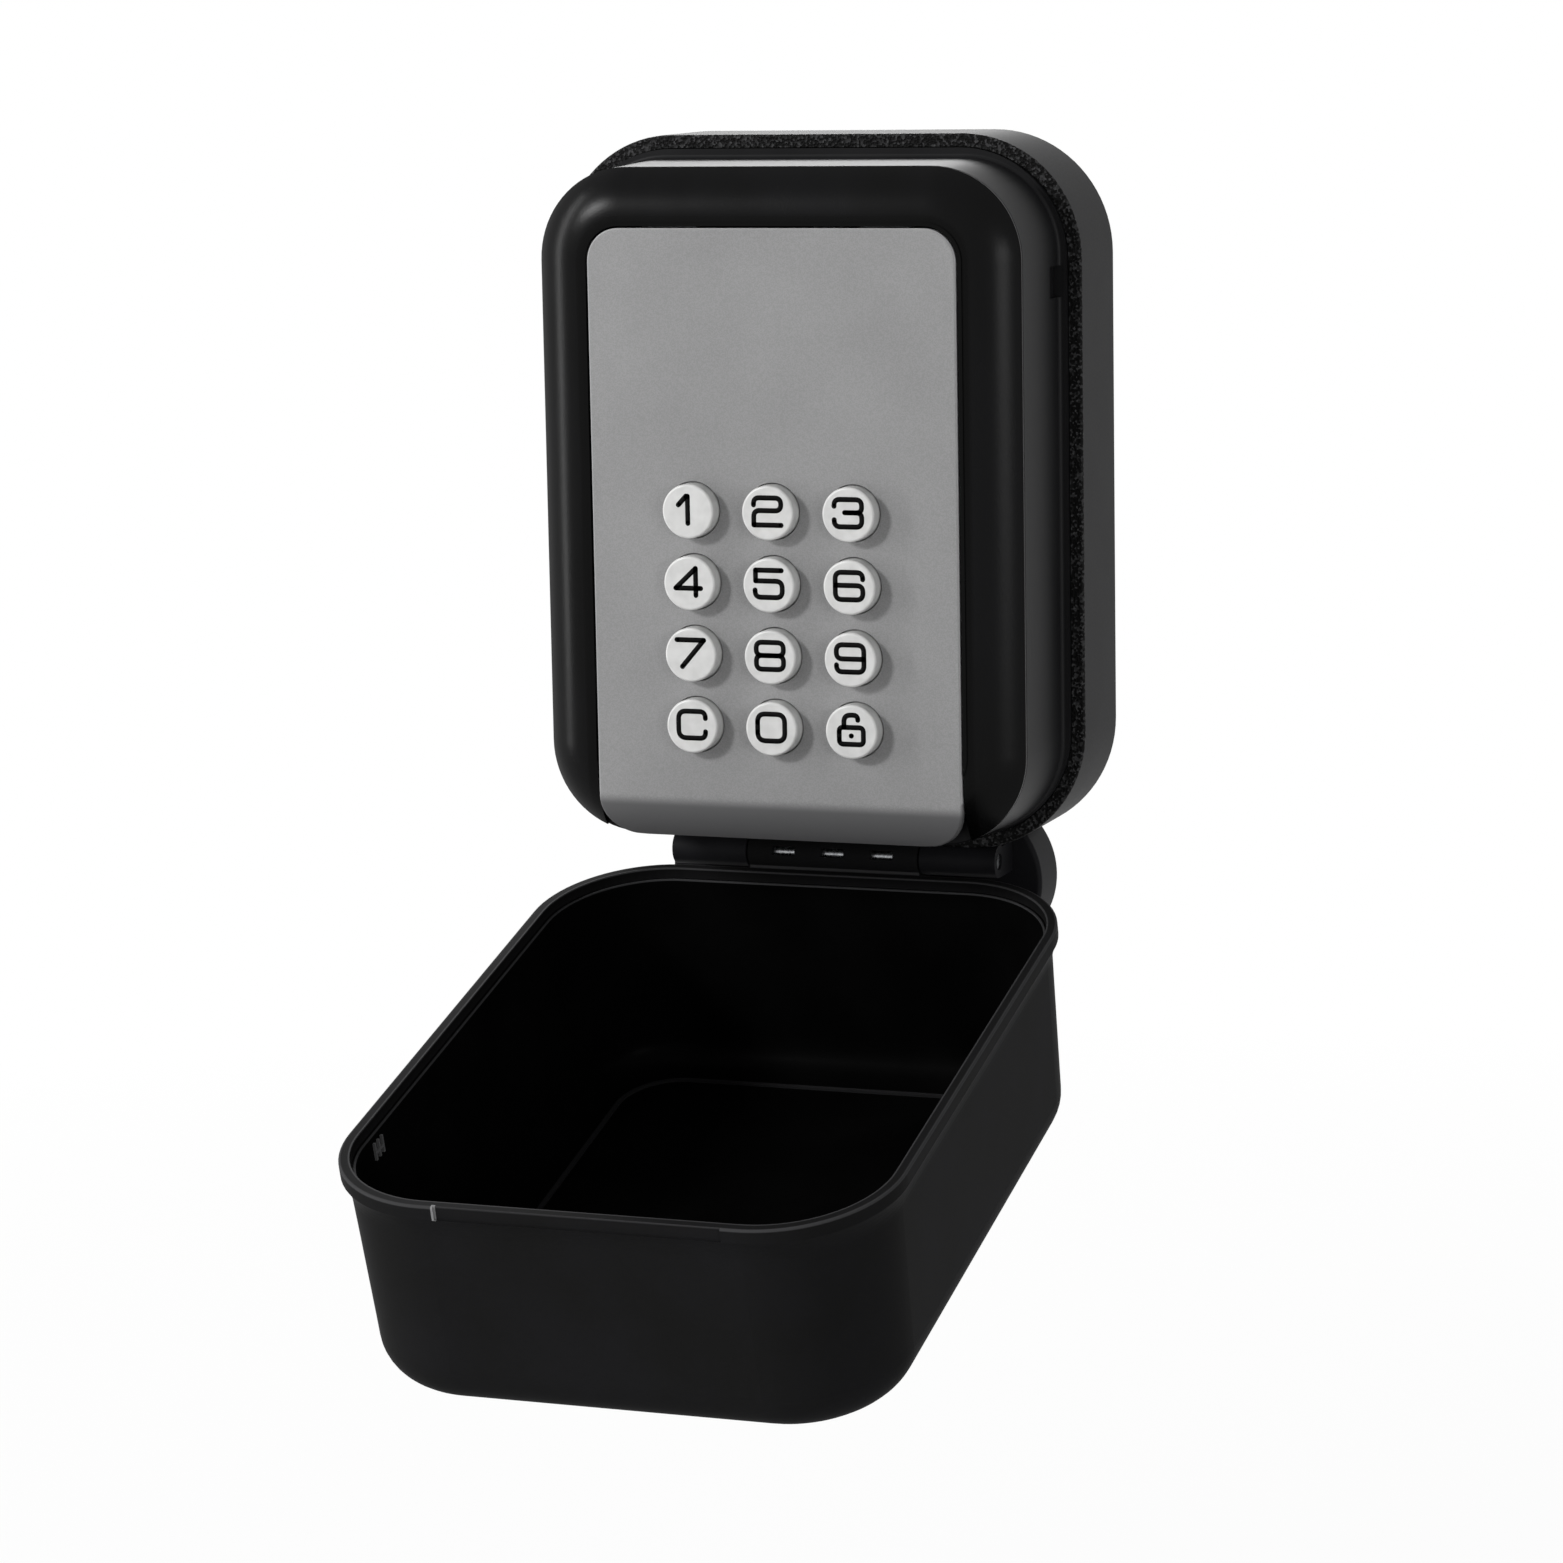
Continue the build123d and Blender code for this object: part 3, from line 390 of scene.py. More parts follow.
def makeCoverPlastic(name, look, mould, rimDepth):
    material, tree, place = startMaterial(name)
    closed = closedCoverSpot(tree, place)
    folded = addNode(tree, "ShaderNodeVectorMath", {0: closed}, operation="ABSOLUTE")
    flatPart = (mould["flatHalfWidth"] * mm, 0, mould["flatHalfHeight"] * mm)
    reach = outlineReach(tree, folded.outputs["Vector"], flatPart)
    at = addNode(tree, "ShaderNodeSeparateXYZ", {"Vector": closed}).outputs
    depth = addNode(
        tree, "ShaderNodeMath", {0: at["Y"], 1: -1.0, 2: -rimDepth * mm}, operation="MULTIPLY_ADD"
    ).outputs["Value"]
    inside = coreSide(tree, reach, depth, mould)
    cloud = addNode(
        tree, "ShaderNodeTexNoise", {"Vector": place, "Scale": perMm(look["cloud"]), "Detail": 4.0}
    )
    fine = addNode(
        tree, "ShaderNodeTexNoise", {"Vector": place, "Scale": perMm(look["grain"]), "Detail": 3.0}
    )
    # inside tone: polished core side, darker partly as painted shade in the hollow
    skin = addNode(
        tree, "ShaderNodeMix",
        {
            0: inside,
            6: twoTone(tree, cloud.outputs["Fac"], look["outsideDark"], look["outsideLight"]),
            7: twoTone(tree, cloud.outputs["Fac"], look["insideDark"], look["insideLight"]),
        },
        data_type="RGBA",
    )
    # painted highlights on raised details: floor border, comb ribs and the notch at one end of the finger
    # recess
    marks = {
        "ridge": (
            (reach, mould["borderReach"], mould["borderWidth"]),
            (depth, mould["borderDepth"], mould["borderRise"]),
        ),
        "comb": (
            (reach, mould["combReach"], mould["combWide"]),
            (depth, mould["combDepth"], mould["combLong"]),
        ),
        "notchHighlight": (
            (at["X"], mould["recessEnd"], mould["notchHighlightWide"]),
            (at["Z"], mould["recessFace"], mould["notchHighlightHigh"]),
            (depth, 0.0, mould["notchHighlightDepth"]),
        ),
    }
    shares = {tone: allNear(tree, rows) for tone, rows in marks.items()}
    shares["edge"] = rimEdgeHighlights(tree, reach, depth, mould)
    # painted highlights laid over the skin: border, comb ribs, rim edges and the recess notch
    for tone in ("ridge", "comb", "edge", "notchHighlight"):
        skin = addNode(
            tree, "ShaderNodeMix", {0: shares[tone], 6: skin.outputs[2], 7: hexColour(look[tone])},
            data_type="RGBA",
        )
    bump = addNode(
        tree, "ShaderNodeBump",
        {"Height": fine.outputs["Fac"], "Strength": look["bump"], "Distance": look["bumpDepth"] * mm},
    )
    finishMaterial(tree, {
        "Base Color": skin.outputs[2], "Specular IOR Level": look["specular"],
        "Roughness": between(tree, inside, look["outsideRoughness"], look["insideRoughness"]),
        "Normal": bump.outputs["Normal"],
    })
    return material


# Metallic lacquer on the cast door: mid grey, with a painted highlight on its rounded edges and
# painted shade on the finger lip. Its aluminium flake, about 0.03 mm, is drawn coarser to show.
doorLacquer = {
    "dark": "#7f7f7f", "light": "#868686", "cloud": 22, "roughness": 0.42, "roughSpread": 0.03,
    "specular": 0.3, "flakeDark": "#787879", "flakeLight": "#909091", "flake": 0.18,
    "flakeShare": 0.35, "bump": 0.02, "bumpDepth": 0.1,
    "edge": "#b9b9ba", "edgeFrom": 0.04, "edgeTo": 0.16, "bendHeight": 8.1, "bendFade": 0.5,
    "lip": "#545455", "lipDrop": 0.3, "lipFade": 2.2,
}


def makeDoorLacquer(name, look, front, foot):
    # front: the plate's face; foot: its lowest point, both in metres
    material, tree, place = startMaterial(name)
    at = addNode(tree, "ShaderNodeSeparateXYZ", {"Vector": place}).outputs
    behind = addNode(
        tree, "ShaderNodeMapRange",
        {
            "Value": at["Y"], "From Min": front + look["edgeFrom"] * mm,
            "From Max": front + look["edgeTo"] * mm,
        },
    )
    aboveBend = addNode(
        tree, "ShaderNodeMapRange",
        {
            "Value": at["Z"], "From Min": foot + look["bendHeight"] * mm,
            "From Max": foot + (look["bendHeight"] + look["bendFade"]) * mm,
        },
    )
    onEdge = addNode(
        tree, "ShaderNodeMath", {0: behind.outputs["Result"], 1: aboveBend.outputs["Result"]},
        operation="MULTIPLY",
    )
    lipTop = look["bendHeight"] - look["lipDrop"]
    onLip = addNode(
        tree, "ShaderNodeMapRange",
        {
            "Value": at["Z"], "From Min": foot + lipTop * mm,
            "From Max": foot + (lipTop - look["lipFade"]) * mm,
        },
        interpolation_type="SMOOTHSTEP",
    )
    cloud = addNode(
        tree, "ShaderNodeTexNoise", {"Vector": place, "Scale": perMm(look["cloud"]), "Detail": 2.0}
    )
    flake = addNode(tree, "ShaderNodeTexVoronoi", {"Vector": place, "Scale": perMm(look["flake"])})
    base = twoTone(tree, cloud.outputs["Fac"], look["dark"], look["light"])
    sparkle = twoTone(tree, flake.outputs["Color"], look["flakeDark"], look["flakeLight"])
    colour = addNode(
        tree, "ShaderNodeMix", {0: look["flakeShare"], 6: base, 7: sparkle}, data_type="RGBA"
    )
    # painted shade: the finger lip is painted darker
    lipShade = addNode(
        tree, "ShaderNodeMix",
        {0: onLip.outputs["Result"], 6: colour.outputs[2], 7: hexColour(look["lip"])},
        data_type="RGBA",
    )
    # painted highlight: the rounded edges are painted lighter
    edgeHighlight = addNode(
        tree, "ShaderNodeMix",
        {0: onEdge.outputs["Value"], 6: lipShade.outputs[2], 7: hexColour(look["edge"])},
        data_type="RGBA",
    )
    bump = addNode(
        tree, "ShaderNodeBump",
        {
            "Height": flake.outputs["Distance"], "Strength": look["bump"],
            "Distance": look["bumpDepth"] * mm,
        },
    )
    rough, spread = look["roughness"], look["roughSpread"]
    finishMaterial(tree, {
        "Base Color": edgeHighlight.outputs[2], "Specular IOR Level": look["specular"],
        "Roughness": between(tree, cloud.outputs["Fac"], rough - spread, rough + spread),
        "Normal": bump.outputs["Normal"],
    })
    return material


# White moulded acetal caps: clean, softly shining, a trace of tone variation
capPlastic = {
    "dark": "#bebebd", "light": "#c8c8c7", "roughness": 0.34, "roughSpread": 0.03, "specular": 0.45,
    "grain": 2.5,
}
# Pad-printed black ink: flat and slightly duller than the cap
legendInk = {
    "dark": "#050505", "light": "#0a0a0a", "roughness": 0.6, "roughSpread": 0.03, "specular": 0.04,
    "grain": 0.6,
}


def makePlainPlastic(name, look):
    material, tree, place = startMaterial(name)
    cloud = addNode(
        tree, "ShaderNodeTexNoise", {"Vector": place, "Scale": perMm(look["grain"]), "Detail": 2.0}
    )
    rough, spread = look["roughness"], look["roughSpread"]
    finishMaterial(tree, {
        "Base Color": twoTone(tree, cloud.outputs["Fac"], look["dark"], look["light"]),
        "Roughness": between(tree, cloud.outputs["Fac"], rough - spread, rough + spread),
        "Specular IOR Level": look["specular"],
    })
    return material


# Bare and plated metals: grain in mm, and streak below 1 draws it out along y
metals = {
    # bright zinc plate on pressed steel: cool, lightly clouded
    "zincPlatedSteel": dict(dark="#8d9093", light="#b4b7ba", roughness=0.34, grain=3.0, streak=1.0),
    # as-cast zinc alloy: dull grey with a mottled skin
    "castZincAlloy": dict(dark="#6f7173", light="#8c8e90", roughness=0.5, grain=1.2, streak=1.0),
    # centreless-ground steel pin: bright, with a fine streaky polish
    "groundSteelPin": dict(dark="#8a8c8f", light="#bcbec0", roughness=0.28, grain=0.5, streak=0.1),
    # drawn spring wire: bright and slightly streaked
    "drawnSpringWire": dict(dark="#84878a", light="#c0c2c4", roughness=0.3, grain=0.6, streak=0.3),
}
metalSkin = {"bump": 0.08, "bumpDepth": 0.1, "smoother": 0.06, "rougher": 0.08}


def makeMetal(name, look):
    material, tree, place = startMaterial(name)
    stretched = addNode(
        tree, "ShaderNodeMapping", {"Vector": place, "Scale": (1.0, look["streak"], 1.0)}
    )
    cloud = addNode(
        tree, "ShaderNodeTexNoise",
        {"Vector": stretched.outputs["Vector"], "Scale": perMm(look["grain"]), "Detail": 4.0},
    )
    bump = addNode(
        tree, "ShaderNodeBump",
        {
            "Height": cloud.outputs["Fac"], "Strength": metalSkin["bump"],
            "Distance": metalSkin["bumpDepth"] * mm,
        },
    )
    finishMaterial(tree, {
        "Base Color": twoTone(tree, cloud.outputs["Fac"], look["dark"], look["light"]), "Metallic": 1.0,
        "Roughness": between(
            tree, cloud.outputs["Fac"],
            look["roughness"] - metalSkin["smoother"], look["roughness"] + metalSkin["rougher"],
        ),
        "Normal": bump.outputs["Normal"],
    })
    return material


caseFront = -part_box("wall_case")[0].y / mm
materials = {"powderCoatCase": makeCasePaint("powderCoatCase", casePaint, caseFront)}
materials |= {
    name: makeSatinBlack(name, look, openingShadeBand if name == "texturedAbsBezel" else None)
    for name, look in satinBlacks.items()
}
materials |= {name: makeMetal(name, look) for name, look in metals.items()}
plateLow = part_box("door_plate")[0]
materials["metallicDoorLacquer"] = makeDoorLacquer("metallicDoorLacquer", doorLacquer, plateLow.y, plateLow.z)
materials["mouldedPolypropyleneCover"] = makeCoverPlastic(
    "mouldedPolypropyleneCover", coverPlastic, coverMould, caseFront
)
materials["acetalCap"] = makePlainPlastic("acetalCap", capPlastic)
materials["padPrintInk"] = makePlainPlastic("padPrintInk", legendInk)
print("materials:", len(materials))

# Which finish each CAD piece has
finishOf = {
    "wall_case": "powderCoatCase", "lock_body": "satinEnamelBody", "front_bezel": "texturedAbsBezel",
    "door_plate": "metallicDoorLacquer", "weather_cover": "mouldedPolypropyleneCover",
    "hinge_bracket": "powderCoatBracket", "hinge_pin": "groundSteelPin", "button_guide": "nylonGuide",
    "lock_chassis": "castZincAlloy", "lock_back_cover": "zincPlatedSteel", "lock_slide": "zincPlatedSteel",
    "latch_bolt": "zincPlatedSteel", "latch_rivets": "zincPlatedSteel", "reset_bar": "zincPlatedSteel",
    "key_hook": "zincPlatedSteel",
}
finishOf |= {node: "acetalCap" for node in nodes if node.startswith("button_") and node != "button_guide"}
finishOf |= {node: "drawnSpringWire" for node in nodes if "spring" in node}
for node, finish in finishOf.items():
    for place in nodes[node].material_slots:
        place.material = materials[finish]
print("painted pieces:", len(finishOf))


def meshFromTree(name, carrier, treeGroup, values, material):
    # runs a geometry tree on a carrier mesh or curve and keeps the plain result
    modifier = carrier.modifiers.new("Tree", "NODES")
    modifier.node_group = treeGroup
    for item in treeGroup.interface.items_tree:
        if item.item_type == "SOCKET" and item.in_out == "INPUT" and item.name in values:
            modifier[item.identifier] = values[item.name]
    bpy.context.view_layer.update()
    evaluated = carrier.evaluated_get(bpy.context.evaluated_depsgraph_get())
    mesh = bpy.data.meshes.new_from_object(evaluated)
    mesh.name = name
    carrier.modifiers.remove(modifier)
    bpy.data.objects.remove(carrier)
    if not mesh.materials:
        mesh.materials.append(material)
    return addObject(name, mesh)


def startTree(name, sizes):
    # geometry tree with one named input for each size
    tree = bpy.data.node_groups.new(name, "GeometryNodeTree")
    tree.interface.new_socket("Geometry", in_out="INPUT", socket_type="NodeSocketGeometry")
    for size in sizes:
        tree.interface.new_socket(size, in_out="INPUT", socket_type="NodeSocketFloat")
    tree.interface.new_socket("Geometry", in_out="OUTPUT", socket_type="NodeSocketGeometry")
    return tree, addNode(tree, "NodeGroupInput").outputs


def endTree(tree, geometry, material):
    real = addNode(tree, "GeometryNodeRealizeInstances", {"Geometry": geometry})
    painted = addNode(
        tree, "GeometryNodeSetMaterial", {"Geometry": real.outputs["Geometry"], "Material": material}
    )
    addNode(tree, "NodeGroupOutput", {"Geometry": painted.outputs["Geometry"]})


# Printed legends: strokes on each cap's face, drawn as flat ribbons with round ends. Sizes in
# mm; an arc may take up to arcShare of a side whose other end is sharp, and half of any other.
legend = {
    "halfWidth": 2.55, "halfHeight": 2.4, "stroke": 0.92, "thickness": 0.04, "sink": 0.01, "lift": 0.3,
    "lockHalfWidth": 2.25, "lockTop": 0.55, "lockBottom": -2.45,
    "arcSteps": 7, "arcShare": 0.98, "endFacets": 20,
}
wide, tall = legend["halfWidth"], legend["halfHeight"]
lockWide, lockTop, lockLow = legend["lockHalfWidth"], legend["lockTop"], legend["lockBottom"]
# each stroke is a line or a closed loop through points on the cap's face: x, y, corner radius
strokes = {
    "1": [("line", [(-1.75, 0.85, 0), (-0.3, tall, 0), (0, tall, 0), (0, -tall, 0)])],
    "2": [("line", [
        (-wide, 1.15, 0), (-wide, tall, 1.1), (wide, tall, 1.15), (wide, 0.15, 1.15),
        (-wide, 0.15, 1.15), (-wide, -tall, 0), (wide, -tall, 0),
    ])],
    "3": [
        ("line", [(-wide, 1.2, 0), (-wide, tall, 1.1), (wide, tall, 1.1), (wide, 0.1, 1.0), (-0.6, 0.1, 0)]),
        ("line", [
            (-0.6, 0.1, 0), (wide, 0.1, 1.0), (wide, -tall, 1.1), (-wide, -tall, 1.1), (-wide, -1.2, 0),
        ]),
    ],
    "4": [("line", [(1.25, -tall, 0), (1.25, tall, 0), (-wide, -1.15, 0), (wide * 0.85, -1.15, 0)])],
    "5": [("line", [
        (wide * 0.95, tall, 0), (-wide * 0.95, tall, 0), (-wide * 0.95, 0.5, 0), (wide, 0.5, 1.2),
        (wide, -tall, 1.2), (-wide, -tall, 1.1), (-wide, -1.15, 0),
    ])],
    "6": [("line", [
        (wide, 1.2, 0), (wide, tall, 1.1), (-wide, tall, 1.2), (-wide, -tall, 1.2),
        (wide, -tall, 1.2), (wide, 0.1, 1.1), (-wide, 0.1, 0),
    ])],
    "7": [("line", [(-wide, tall, 0), (wide, tall, 0), (-1.6, -tall, 0)])],
    "8": [
        ("loop", [(-wide, 0.05, 1.05), (-wide, tall, 1.1), (wide, tall, 1.1), (wide, 0.05, 1.05)]),
        ("loop", [(-wide, 0.05, 1.05), (-wide, -tall, 1.1), (wide, -tall, 1.1), (wide, 0.05, 1.05)]),
    ],
    "9": [("line", [
        (-wide, -1.2, 0), (-wide, -tall, 1.1), (wide, -tall, 1.2), (wide, tall, 1.2),
        (-wide, tall, 1.2), (-wide, -0.1, 1.1), (wide, -0.1, 0),
    ])],
    "c": [("line", [
        (wide, 1.2, 0), (wide, tall, 1.1), (-wide, tall, 1.45), (-wide, -tall, 1.45),
        (wide, -tall, 1.1), (wide, -1.2, 0),
    ])],
    "0": [("loop", [(-wide, tall, 1.5), (wide, tall, 1.5), (wide, -tall, 1.5), (-wide, -tall, 1.5)])],
    "open": [
        ("loop", [
            (-lockWide, lockTop, 0.8), (lockWide, lockTop, 0.8), (lockWide, lockLow, 0.8),
            (-lockWide, lockLow, 0.8),
        ]),
        ("line", [(-1.35, lockTop, 0), (-1.35, 2.75, 1.3), (1.25, 2.75, 1.3), (1.25, 1.9, 0)]),
        ("line", [(-0.02, -0.95, 0), (0.02, -0.95, 0)]),
    ],
}


def strokeTree(material):
    tree, given = startTree("legendStrokes", ["Stroke", "Thickness"])
    profile = addNode(
        tree, "GeometryNodeCurvePrimitiveQuadrilateral",
        {"Width": given["Stroke"], "Height": given["Thickness"]}, mode="RECTANGLE",
    )
    ribbon = addNode(
        tree, "GeometryNodeCurveToMesh",
        {"Curve": given["Geometry"], "Profile Curve": profile.outputs["Curve"], "Fill Caps": True},
    )
    radius = addNode(tree, "ShaderNodeMath", {0: given["Stroke"], 1: 0.5}, operation="MULTIPLY")
    end = addNode(
        tree, "GeometryNodeMeshCylinder",
        {"Vertices": legend["endFacets"], "Radius": radius.outputs["Value"], "Depth": given["Thickness"]},
    )
    ends = addNode(tree, "GeometryNodeCurveEndpointSelection")
    dots = addNode(
        tree, "GeometryNodeInstanceOnPoints",
        {
            "Points": given["Geometry"], "Selection": ends.outputs["Selection"],
            "Instance": end.outputs["Mesh"],
        },
    )
    both = addNode(tree, "GeometryNodeJoinGeometry")
    tree.links.new(ribbon.outputs["Mesh"], both.inputs["Geometry"])
    tree.links.new(dots.outputs["Instances"], both.inputs["Geometry"])
    endTree(tree, both.outputs["Geometry"], material)
    return tree


def strokeRuns(points):
    # rounded corners become short arcs, and a sharp corner starts a new run
    runs = [[]]
    count = len(points)
    for i, (x, y, radius) in enumerate(points):
        corner = Vector((x, y))
        if radius <= 0:
            runs[-1].append(corner)
            if 0 < i < count - 1:
                runs.append([corner])
            continue
        earlier, later = points[i - 1], points[(i + 1) % count]
        before, after = Vector(earlier[:2]) - corner, Vector(later[:2]) - corner
        halfAngle = before.angle(after) / 2
        reach = min(
            radius / abs(sin(halfAngle)) * abs(cos(halfAngle)),
            before.length * (legend["arcShare"] if earlier[2] <= 0 else 0.5),
            after.length * (legend["arcShare"] if later[2] <= 0 else 0.5),
        )
        start = corner + before.normalized() * reach
        end = corner + after.normalized() * reach
        for step in range(legend["arcSteps"] + 1):
            t = step / legend["arcSteps"]
            runs[-1].append(start.lerp(corner, t).lerp(corner.lerp(end, t), t))
    return runs


inkTree = strokeTree(materials["padPrintInk"])
for key, lines in strokes.items():
    node = "button_" + key
    low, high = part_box(node)
    curve = bpy.data.curves.new("strokes_" + key, "CURVE")
    curve.dimensions = "3D"
    for kind, points in lines:
        for run in strokeRuns(points):
            spline = curve.splines.new("POLY")
            spline.points.add(len(run) - 1)
            spline.use_cyclic_u = kind == "loop"
            for point, spot in zip(spline.points, run):
                point.co = (spot.x * mm, (spot.y + legend["lift"]) * mm, 0, 1)
    carrier = addObject("strokes_" + key, curve)
    sizes = {"Stroke": legend["stroke"] * mm, "Thickness": legend["thickness"] * mm}
    piece = meshFromTree("legend_" + key, carrier, inkTree, sizes, materials["padPrintInk"])
    face = Vector(((low.x + high.x) / 2, low.y + legend["sink"] * mm, (low.z + high.z) / 2))
    piece.data.transform(Matrix.Translation(face) @ Matrix.Rotation(pi / 2, 4, "X"))
    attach(piece, bodyOf[node])
print("legends:", len(strokes))


# Pan-head screws with a cross recess, one at each screw of the frame
weldReach = 0.002  # mm within which loose corners of a CAD mesh are one
screwLook = {
    "facets": 40, "capTop": 0.72, "domeShare": 0.45, "recessWidth": 0.34, "recessReach": 1.15,
    "recessDepth": 0.62, "sharpAngle": 32.0,
}


def solidBoxes(node):
    # lowest and highest corner of each separate solid of a CAD node
    bm = bmesh.new()
    bm.from_mesh(nodes[node].data)
    bmesh.ops.remove_doubles(bm, verts=bm.verts, dist=weldReach * mm)
    left = set(bm.verts)
    boxes = []
    while left:
        group = [left.pop()]
        seen = list(group)
        while group:
            vert = group.pop()
            for edge in vert.link_edges:
                other = edge.other_vert(vert)
                if other in left:
                    left.remove(other)
                    group.append(other)
                    seen.append(other)
        low = Vector([min(v.co[i] for v in seen) for i in range(3)])
        high = Vector([max(v.co[i] for v in seen) for i in range(3)])
        boxes.append((low, high))
    bm.free()
    return sorted(boxes, key=lambda box: tuple(box[0]))


def screwTree(material):
    tree, given = startTree("panHeadScrews", ["Shank Radius", "Head Radius", "Head Height", "Length"])
    facets = screwLook["facets"]

    def times(socket, factor):
        return addNode(
            tree, "ShaderNodeMath", {0: socket, 1: factor}, operation="MULTIPLY"
        ).outputs["Value"]

    def moved(mesh, height):
        offset = addNode(tree, "ShaderNodeCombineXYZ", {"Z": height}).outputs["Vector"]
        return addNode(
            tree, "GeometryNodeTransform", {"Geometry": mesh, "Translation": offset}
        ).outputs["Geometry"]

    # local +Z is the way the head faces, with the head's top at zero
    dome = times(given["Head Height"], screwLook["domeShare"])
    rest = times(given["Head Height"], 1 - screwLook["domeShare"])
    disc = addNode(
        tree, "GeometryNodeMeshCylinder",
        {"Vertices": facets, "Radius": given["Head Radius"], "Depth": rest},
    ).outputs["Mesh"]
    cap = addNode(
        tree, "GeometryNodeMeshCone",
        {
            "Vertices": facets, "Radius Top": times(given["Head Radius"], screwLook["capTop"]),
            "Radius Bottom": given["Head Radius"], "Depth": dome,
        },
    ).outputs["Mesh"]
    shank = addNode(
        tree, "GeometryNodeMeshCylinder",
        {"Vertices": facets, "Radius": given["Shank Radius"], "Depth": given["Length"]},
    ).outputs["Mesh"]
    arm = times(given["Head Radius"], screwLook["recessWidth"])
    reach = times(given["Head Radius"], screwLook["recessReach"])
    deep = times(given["Head Height"], 2 * screwLook["recessDepth"])
    bars = []
    for sizes in ({"X": reach, "Y": arm, "Z": deep}, {"X": arm, "Y": reach, "Z": deep}):
        size = addNode(tree, "ShaderNodeCombineXYZ", sizes).outputs["Vector"]
        bars.append(addNode(tree, "GeometryNodeMeshCube", {"Size": size}).outputs["Mesh"])
    discPlace = addNode(
        tree, "ShaderNodeMath", {0: times(given["Head Height"], -0.5), 1: times(dome, 0.5)},
        operation="SUBTRACT",
    ).outputs["Value"]
    head = addNode(tree, "GeometryNodeMeshBoolean", operation="UNION", solver="EXACT")
    for part in (
        moved(disc, discPlace),
        moved(cap, times(dome, -1.0)),
        moved(shank, times(given["Length"], -0.5)),
    ):
        tree.links.new(part, head.inputs["Mesh 2"])
    cut = addNode(
        tree, "GeometryNodeMeshBoolean", {"Mesh 1": head.outputs["Mesh"]},
        operation="DIFFERENCE", solver="EXACT",
    )
    for bar in bars:
        tree.links.new(bar, cut.inputs["Mesh 2"])
    placed = addNode(
        tree, "GeometryNodeInstanceOnPoints",
        {"Points": given["Geometry"], "Instance": cut.outputs["Mesh"]},
    )
    endTree(tree, placed.outputs["Instances"], material)
    return tree


# for each node the way its heads face, with shank radius, head radius and head height in mm
screwGroups = {
    "lock_screws": dict(facing=(0, 1, 0), shank=1.5, head=2.7, height=1.8),
    "bezel_screws": dict(facing=(0, 1, 0), shank=1.0, head=1.9, height=1.3),
    "case_screws": dict(facing=(0, -1, 0), shank=1.5, head=2.7, height=1.8),
    "hook_screw": dict(facing=(0, -1, 0), shank=1.5, head=2.7, height=1.8),
    "bracket_screws": dict(facing=(0, 0, 1), shank=1.5, head=2.7, height=1.8),
}
boltTree = screwTree(materials["zincPlatedSteel"])
for node, screw in screwGroups.items():
    boxes = solidBoxes(node)
    out = Vector(screw["facing"])
    turn = Vector((0, 0, 1)).rotation_difference(out).to_matrix().to_4x4()
    tops = [(low + high) / 2 + out * abs((high - low).dot(out)) / 2 for low, high in boxes]
    points = bpy.data.meshes.new(node + "_places")
    points.from_pydata([turn.inverted() @ top for top in tops], [], [])
    carrier = addObject(node + "_places", points)
    sizes = {
        "Shank Radius": screw["shank"] * mm, "Head Radius": screw["head"] * mm,
        "Head Height": screw["height"] * mm, "Length": abs((boxes[0][1] - boxes[0][0]).dot(out)),
    }
    piece = meshFromTree(node + "_detail", carrier, boltTree, sizes, materials["zincPlatedSteel"])
    piece.data.transform(turn)
    piece.data.shade_smooth()
    piece.data.set_sharp_from_angle(angle=radians(screwLook["sharpAngle"]))
    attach(piece, bodyOf[node])
    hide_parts(node)
print("screw groups:", len(screwGroups))

# Camera at the photograph's view: it looks at a point on the door plate's plane. Sizes in mm,
# angles in degrees.
photoView = {
    "target": (0.737, -45.0, -49.03), "distance": 866.8, "azimuth": 20.20, "elevation": 9.357,
    "roll": -1.026, "lens": 112.33, "sensor": 36.0,
}
azimuth = radians(photoView["azimuth"])
elevation = radians(photoView["elevation"])
roll = radians(photoView["roll"])
back = Vector((sin(azimuth) * cos(elevation), -cos(azimuth) * cos(elevation), sin(elevation)))
level = Vector((cos(azimuth), sin(azimuth), 0))
upright = back.cross(level)
right = level * cos(roll) + upright * sin(roll)
up = upright * cos(roll) - level * sin(roll)
cameraData = bpy.data.cameras.new("photoCamera")
cameraData.lens = photoView["lens"]
cameraData.sensor_width = photoView["sensor"]
camera = addObject("photoCamera", cameraData)
camera.matrix_world = Matrix.Translation(
    (Vector(photoView["target"]) + back * photoView["distance"]) * mm
) @ Matrix((right, up, back)).transposed().to_4x4()
bpy.context.scene.camera = camera


def seenDirectly(tree):
    # 1 for the camera and for reflections, 0 for the light that falls on things
    path = addNode(tree, "ShaderNodeLightPath").outputs
    seen = addNode(
        tree, "ShaderNodeMath", {0: path["Is Camera Ray"], 1: path["Is Glossy Ray"]}, operation="ADD"
    )
    return addNode(
        tree, "ShaderNodeMath", {0: seen.outputs["Value"], 1: path["Is Transmission Ray"]},
        operation="ADD", use_clamp=True,
    ).outputs["Value"]


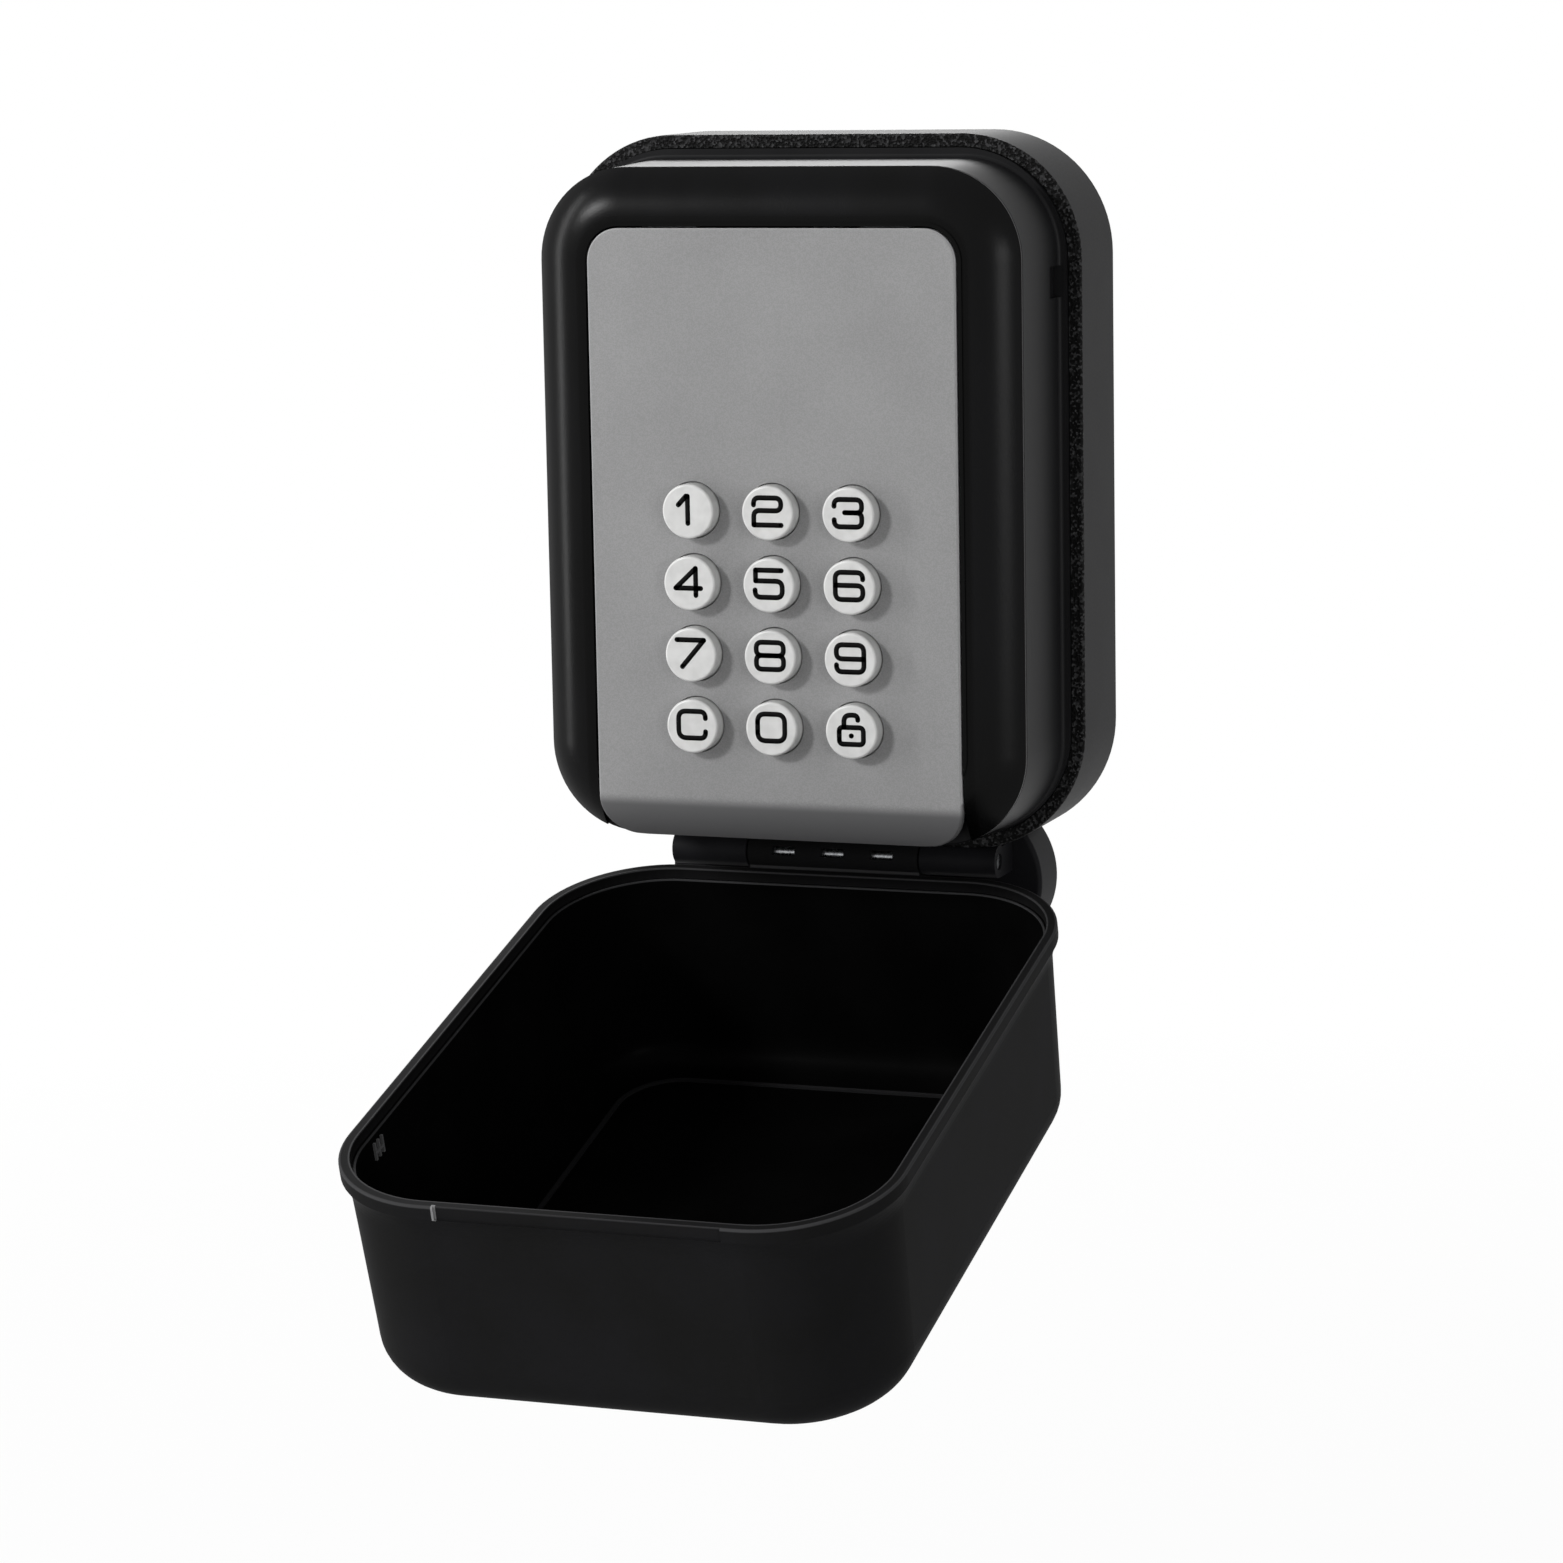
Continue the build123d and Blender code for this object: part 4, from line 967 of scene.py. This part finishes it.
# Matt pale floor well below the safe that fades into the white surround. Sizes in metres.
floorLook = {"height": -0.33, "half": 9.0, "colour": "#d4d4d4", "glow": 0.88, "fadeFrom": 0.35, "fadeTo": 1.1}
half = floorLook["half"]
corners = ((-half, -half), (half, -half), (half, half), (-half, half))
floorMesh = bpy.data.meshes.new("floor")
floorMesh.from_pydata([(x, y, floorLook["height"]) for x, y in corners], [], [(0, 1, 2, 3)])
floor = addObject("floor", floorMesh)
floorPaint, tree, place = startMaterial("mattFloorPaint")
away = addNode(tree, "ShaderNodeVectorMath", {0: place}, operation="LENGTH")
fade = addNode(
    tree, "ShaderNodeMapRange",
    {
        "Value": away.outputs["Value"], "From Min": floorLook["fadeFrom"], "From Max": floorLook["fadeTo"],
        "To Min": floorLook["glow"], "To Max": 1.0,
    },
)
share = addNode(
    tree, "ShaderNodeMath", {0: seenDirectly(tree), 1: fade.outputs["Result"]}, operation="MULTIPLY"
)
matt = addNode(tree, "ShaderNodeBsdfDiffuse", {"Color": hexColour(floorLook["colour"])})
glow = addNode(tree, "ShaderNodeEmission", {"Color": (1, 1, 1, 1), "Strength": 1.0})
mixed = addNode(
    tree, "ShaderNodeMixShader",
    {0: share.outputs["Value"], 1: matt.outputs["BSDF"], 2: glow.outputs["Emission"]},
)
addNode(tree, "ShaderNodeOutputMaterial", {"Surface": mixed.outputs["Shader"]})
floorMesh.materials.append(floorPaint)

# World: white where the camera or a reflection looks, a plain soft level for the rest
worldLook = {"fill": 0.25}
world = bpy.data.worlds.new("studio")
bpy.context.scene.world = world
world.use_nodes = True
tree = world.node_tree
tree.nodes.clear()
strength = between(tree, seenDirectly(tree), worldLook["fill"], 1.0)
surround = addNode(tree, "ShaderNodeBackground", {"Color": (1, 1, 1, 1), "Strength": strength})
addNode(tree, "ShaderNodeOutputWorld", {"Surface": surround.outputs["Background"]})

# Soft studio lamps: place, aim and size in metres, power in watts
lamps = {
    "keyLeft": dict(place=(-0.85, -1.05, 0.56), aim=(0, -0.04, -0.02), size=(0.22, 0.22), power=13.0),
    "stripLeft": dict(place=(-0.92, -0.42, 0.22), aim=(0, -0.03, 0.0), size=(0.10, 0.90), power=5.5),
    "fillRight": dict(place=(0.95, -0.92, 0.08), aim=(0, -0.03, 0.0), size=(0.4, 0.4), power=4.0),
    "topBack": dict(place=(-0.34, 0.80, 0.66), aim=(0, -0.03, 0.05), size=(0.35, 0.35), power=9.0),
}
for name, lamp in lamps.items():
    data = bpy.data.lights.new(name, "AREA")
    data.shape = "RECTANGLE"
    data.size, data.size_y = lamp["size"]
    data.energy = lamp["power"]
    light = addObject(name, data)
    aim = Vector(lamp["place"]) - Vector(lamp["aim"])
    light.matrix_world = Matrix.Translation(lamp["place"]) @ aim.to_track_quat("Z", "Y").to_matrix().to_4x4()
bpy.context.scene.view_settings.view_transform = "Standard"
print("stage ready")
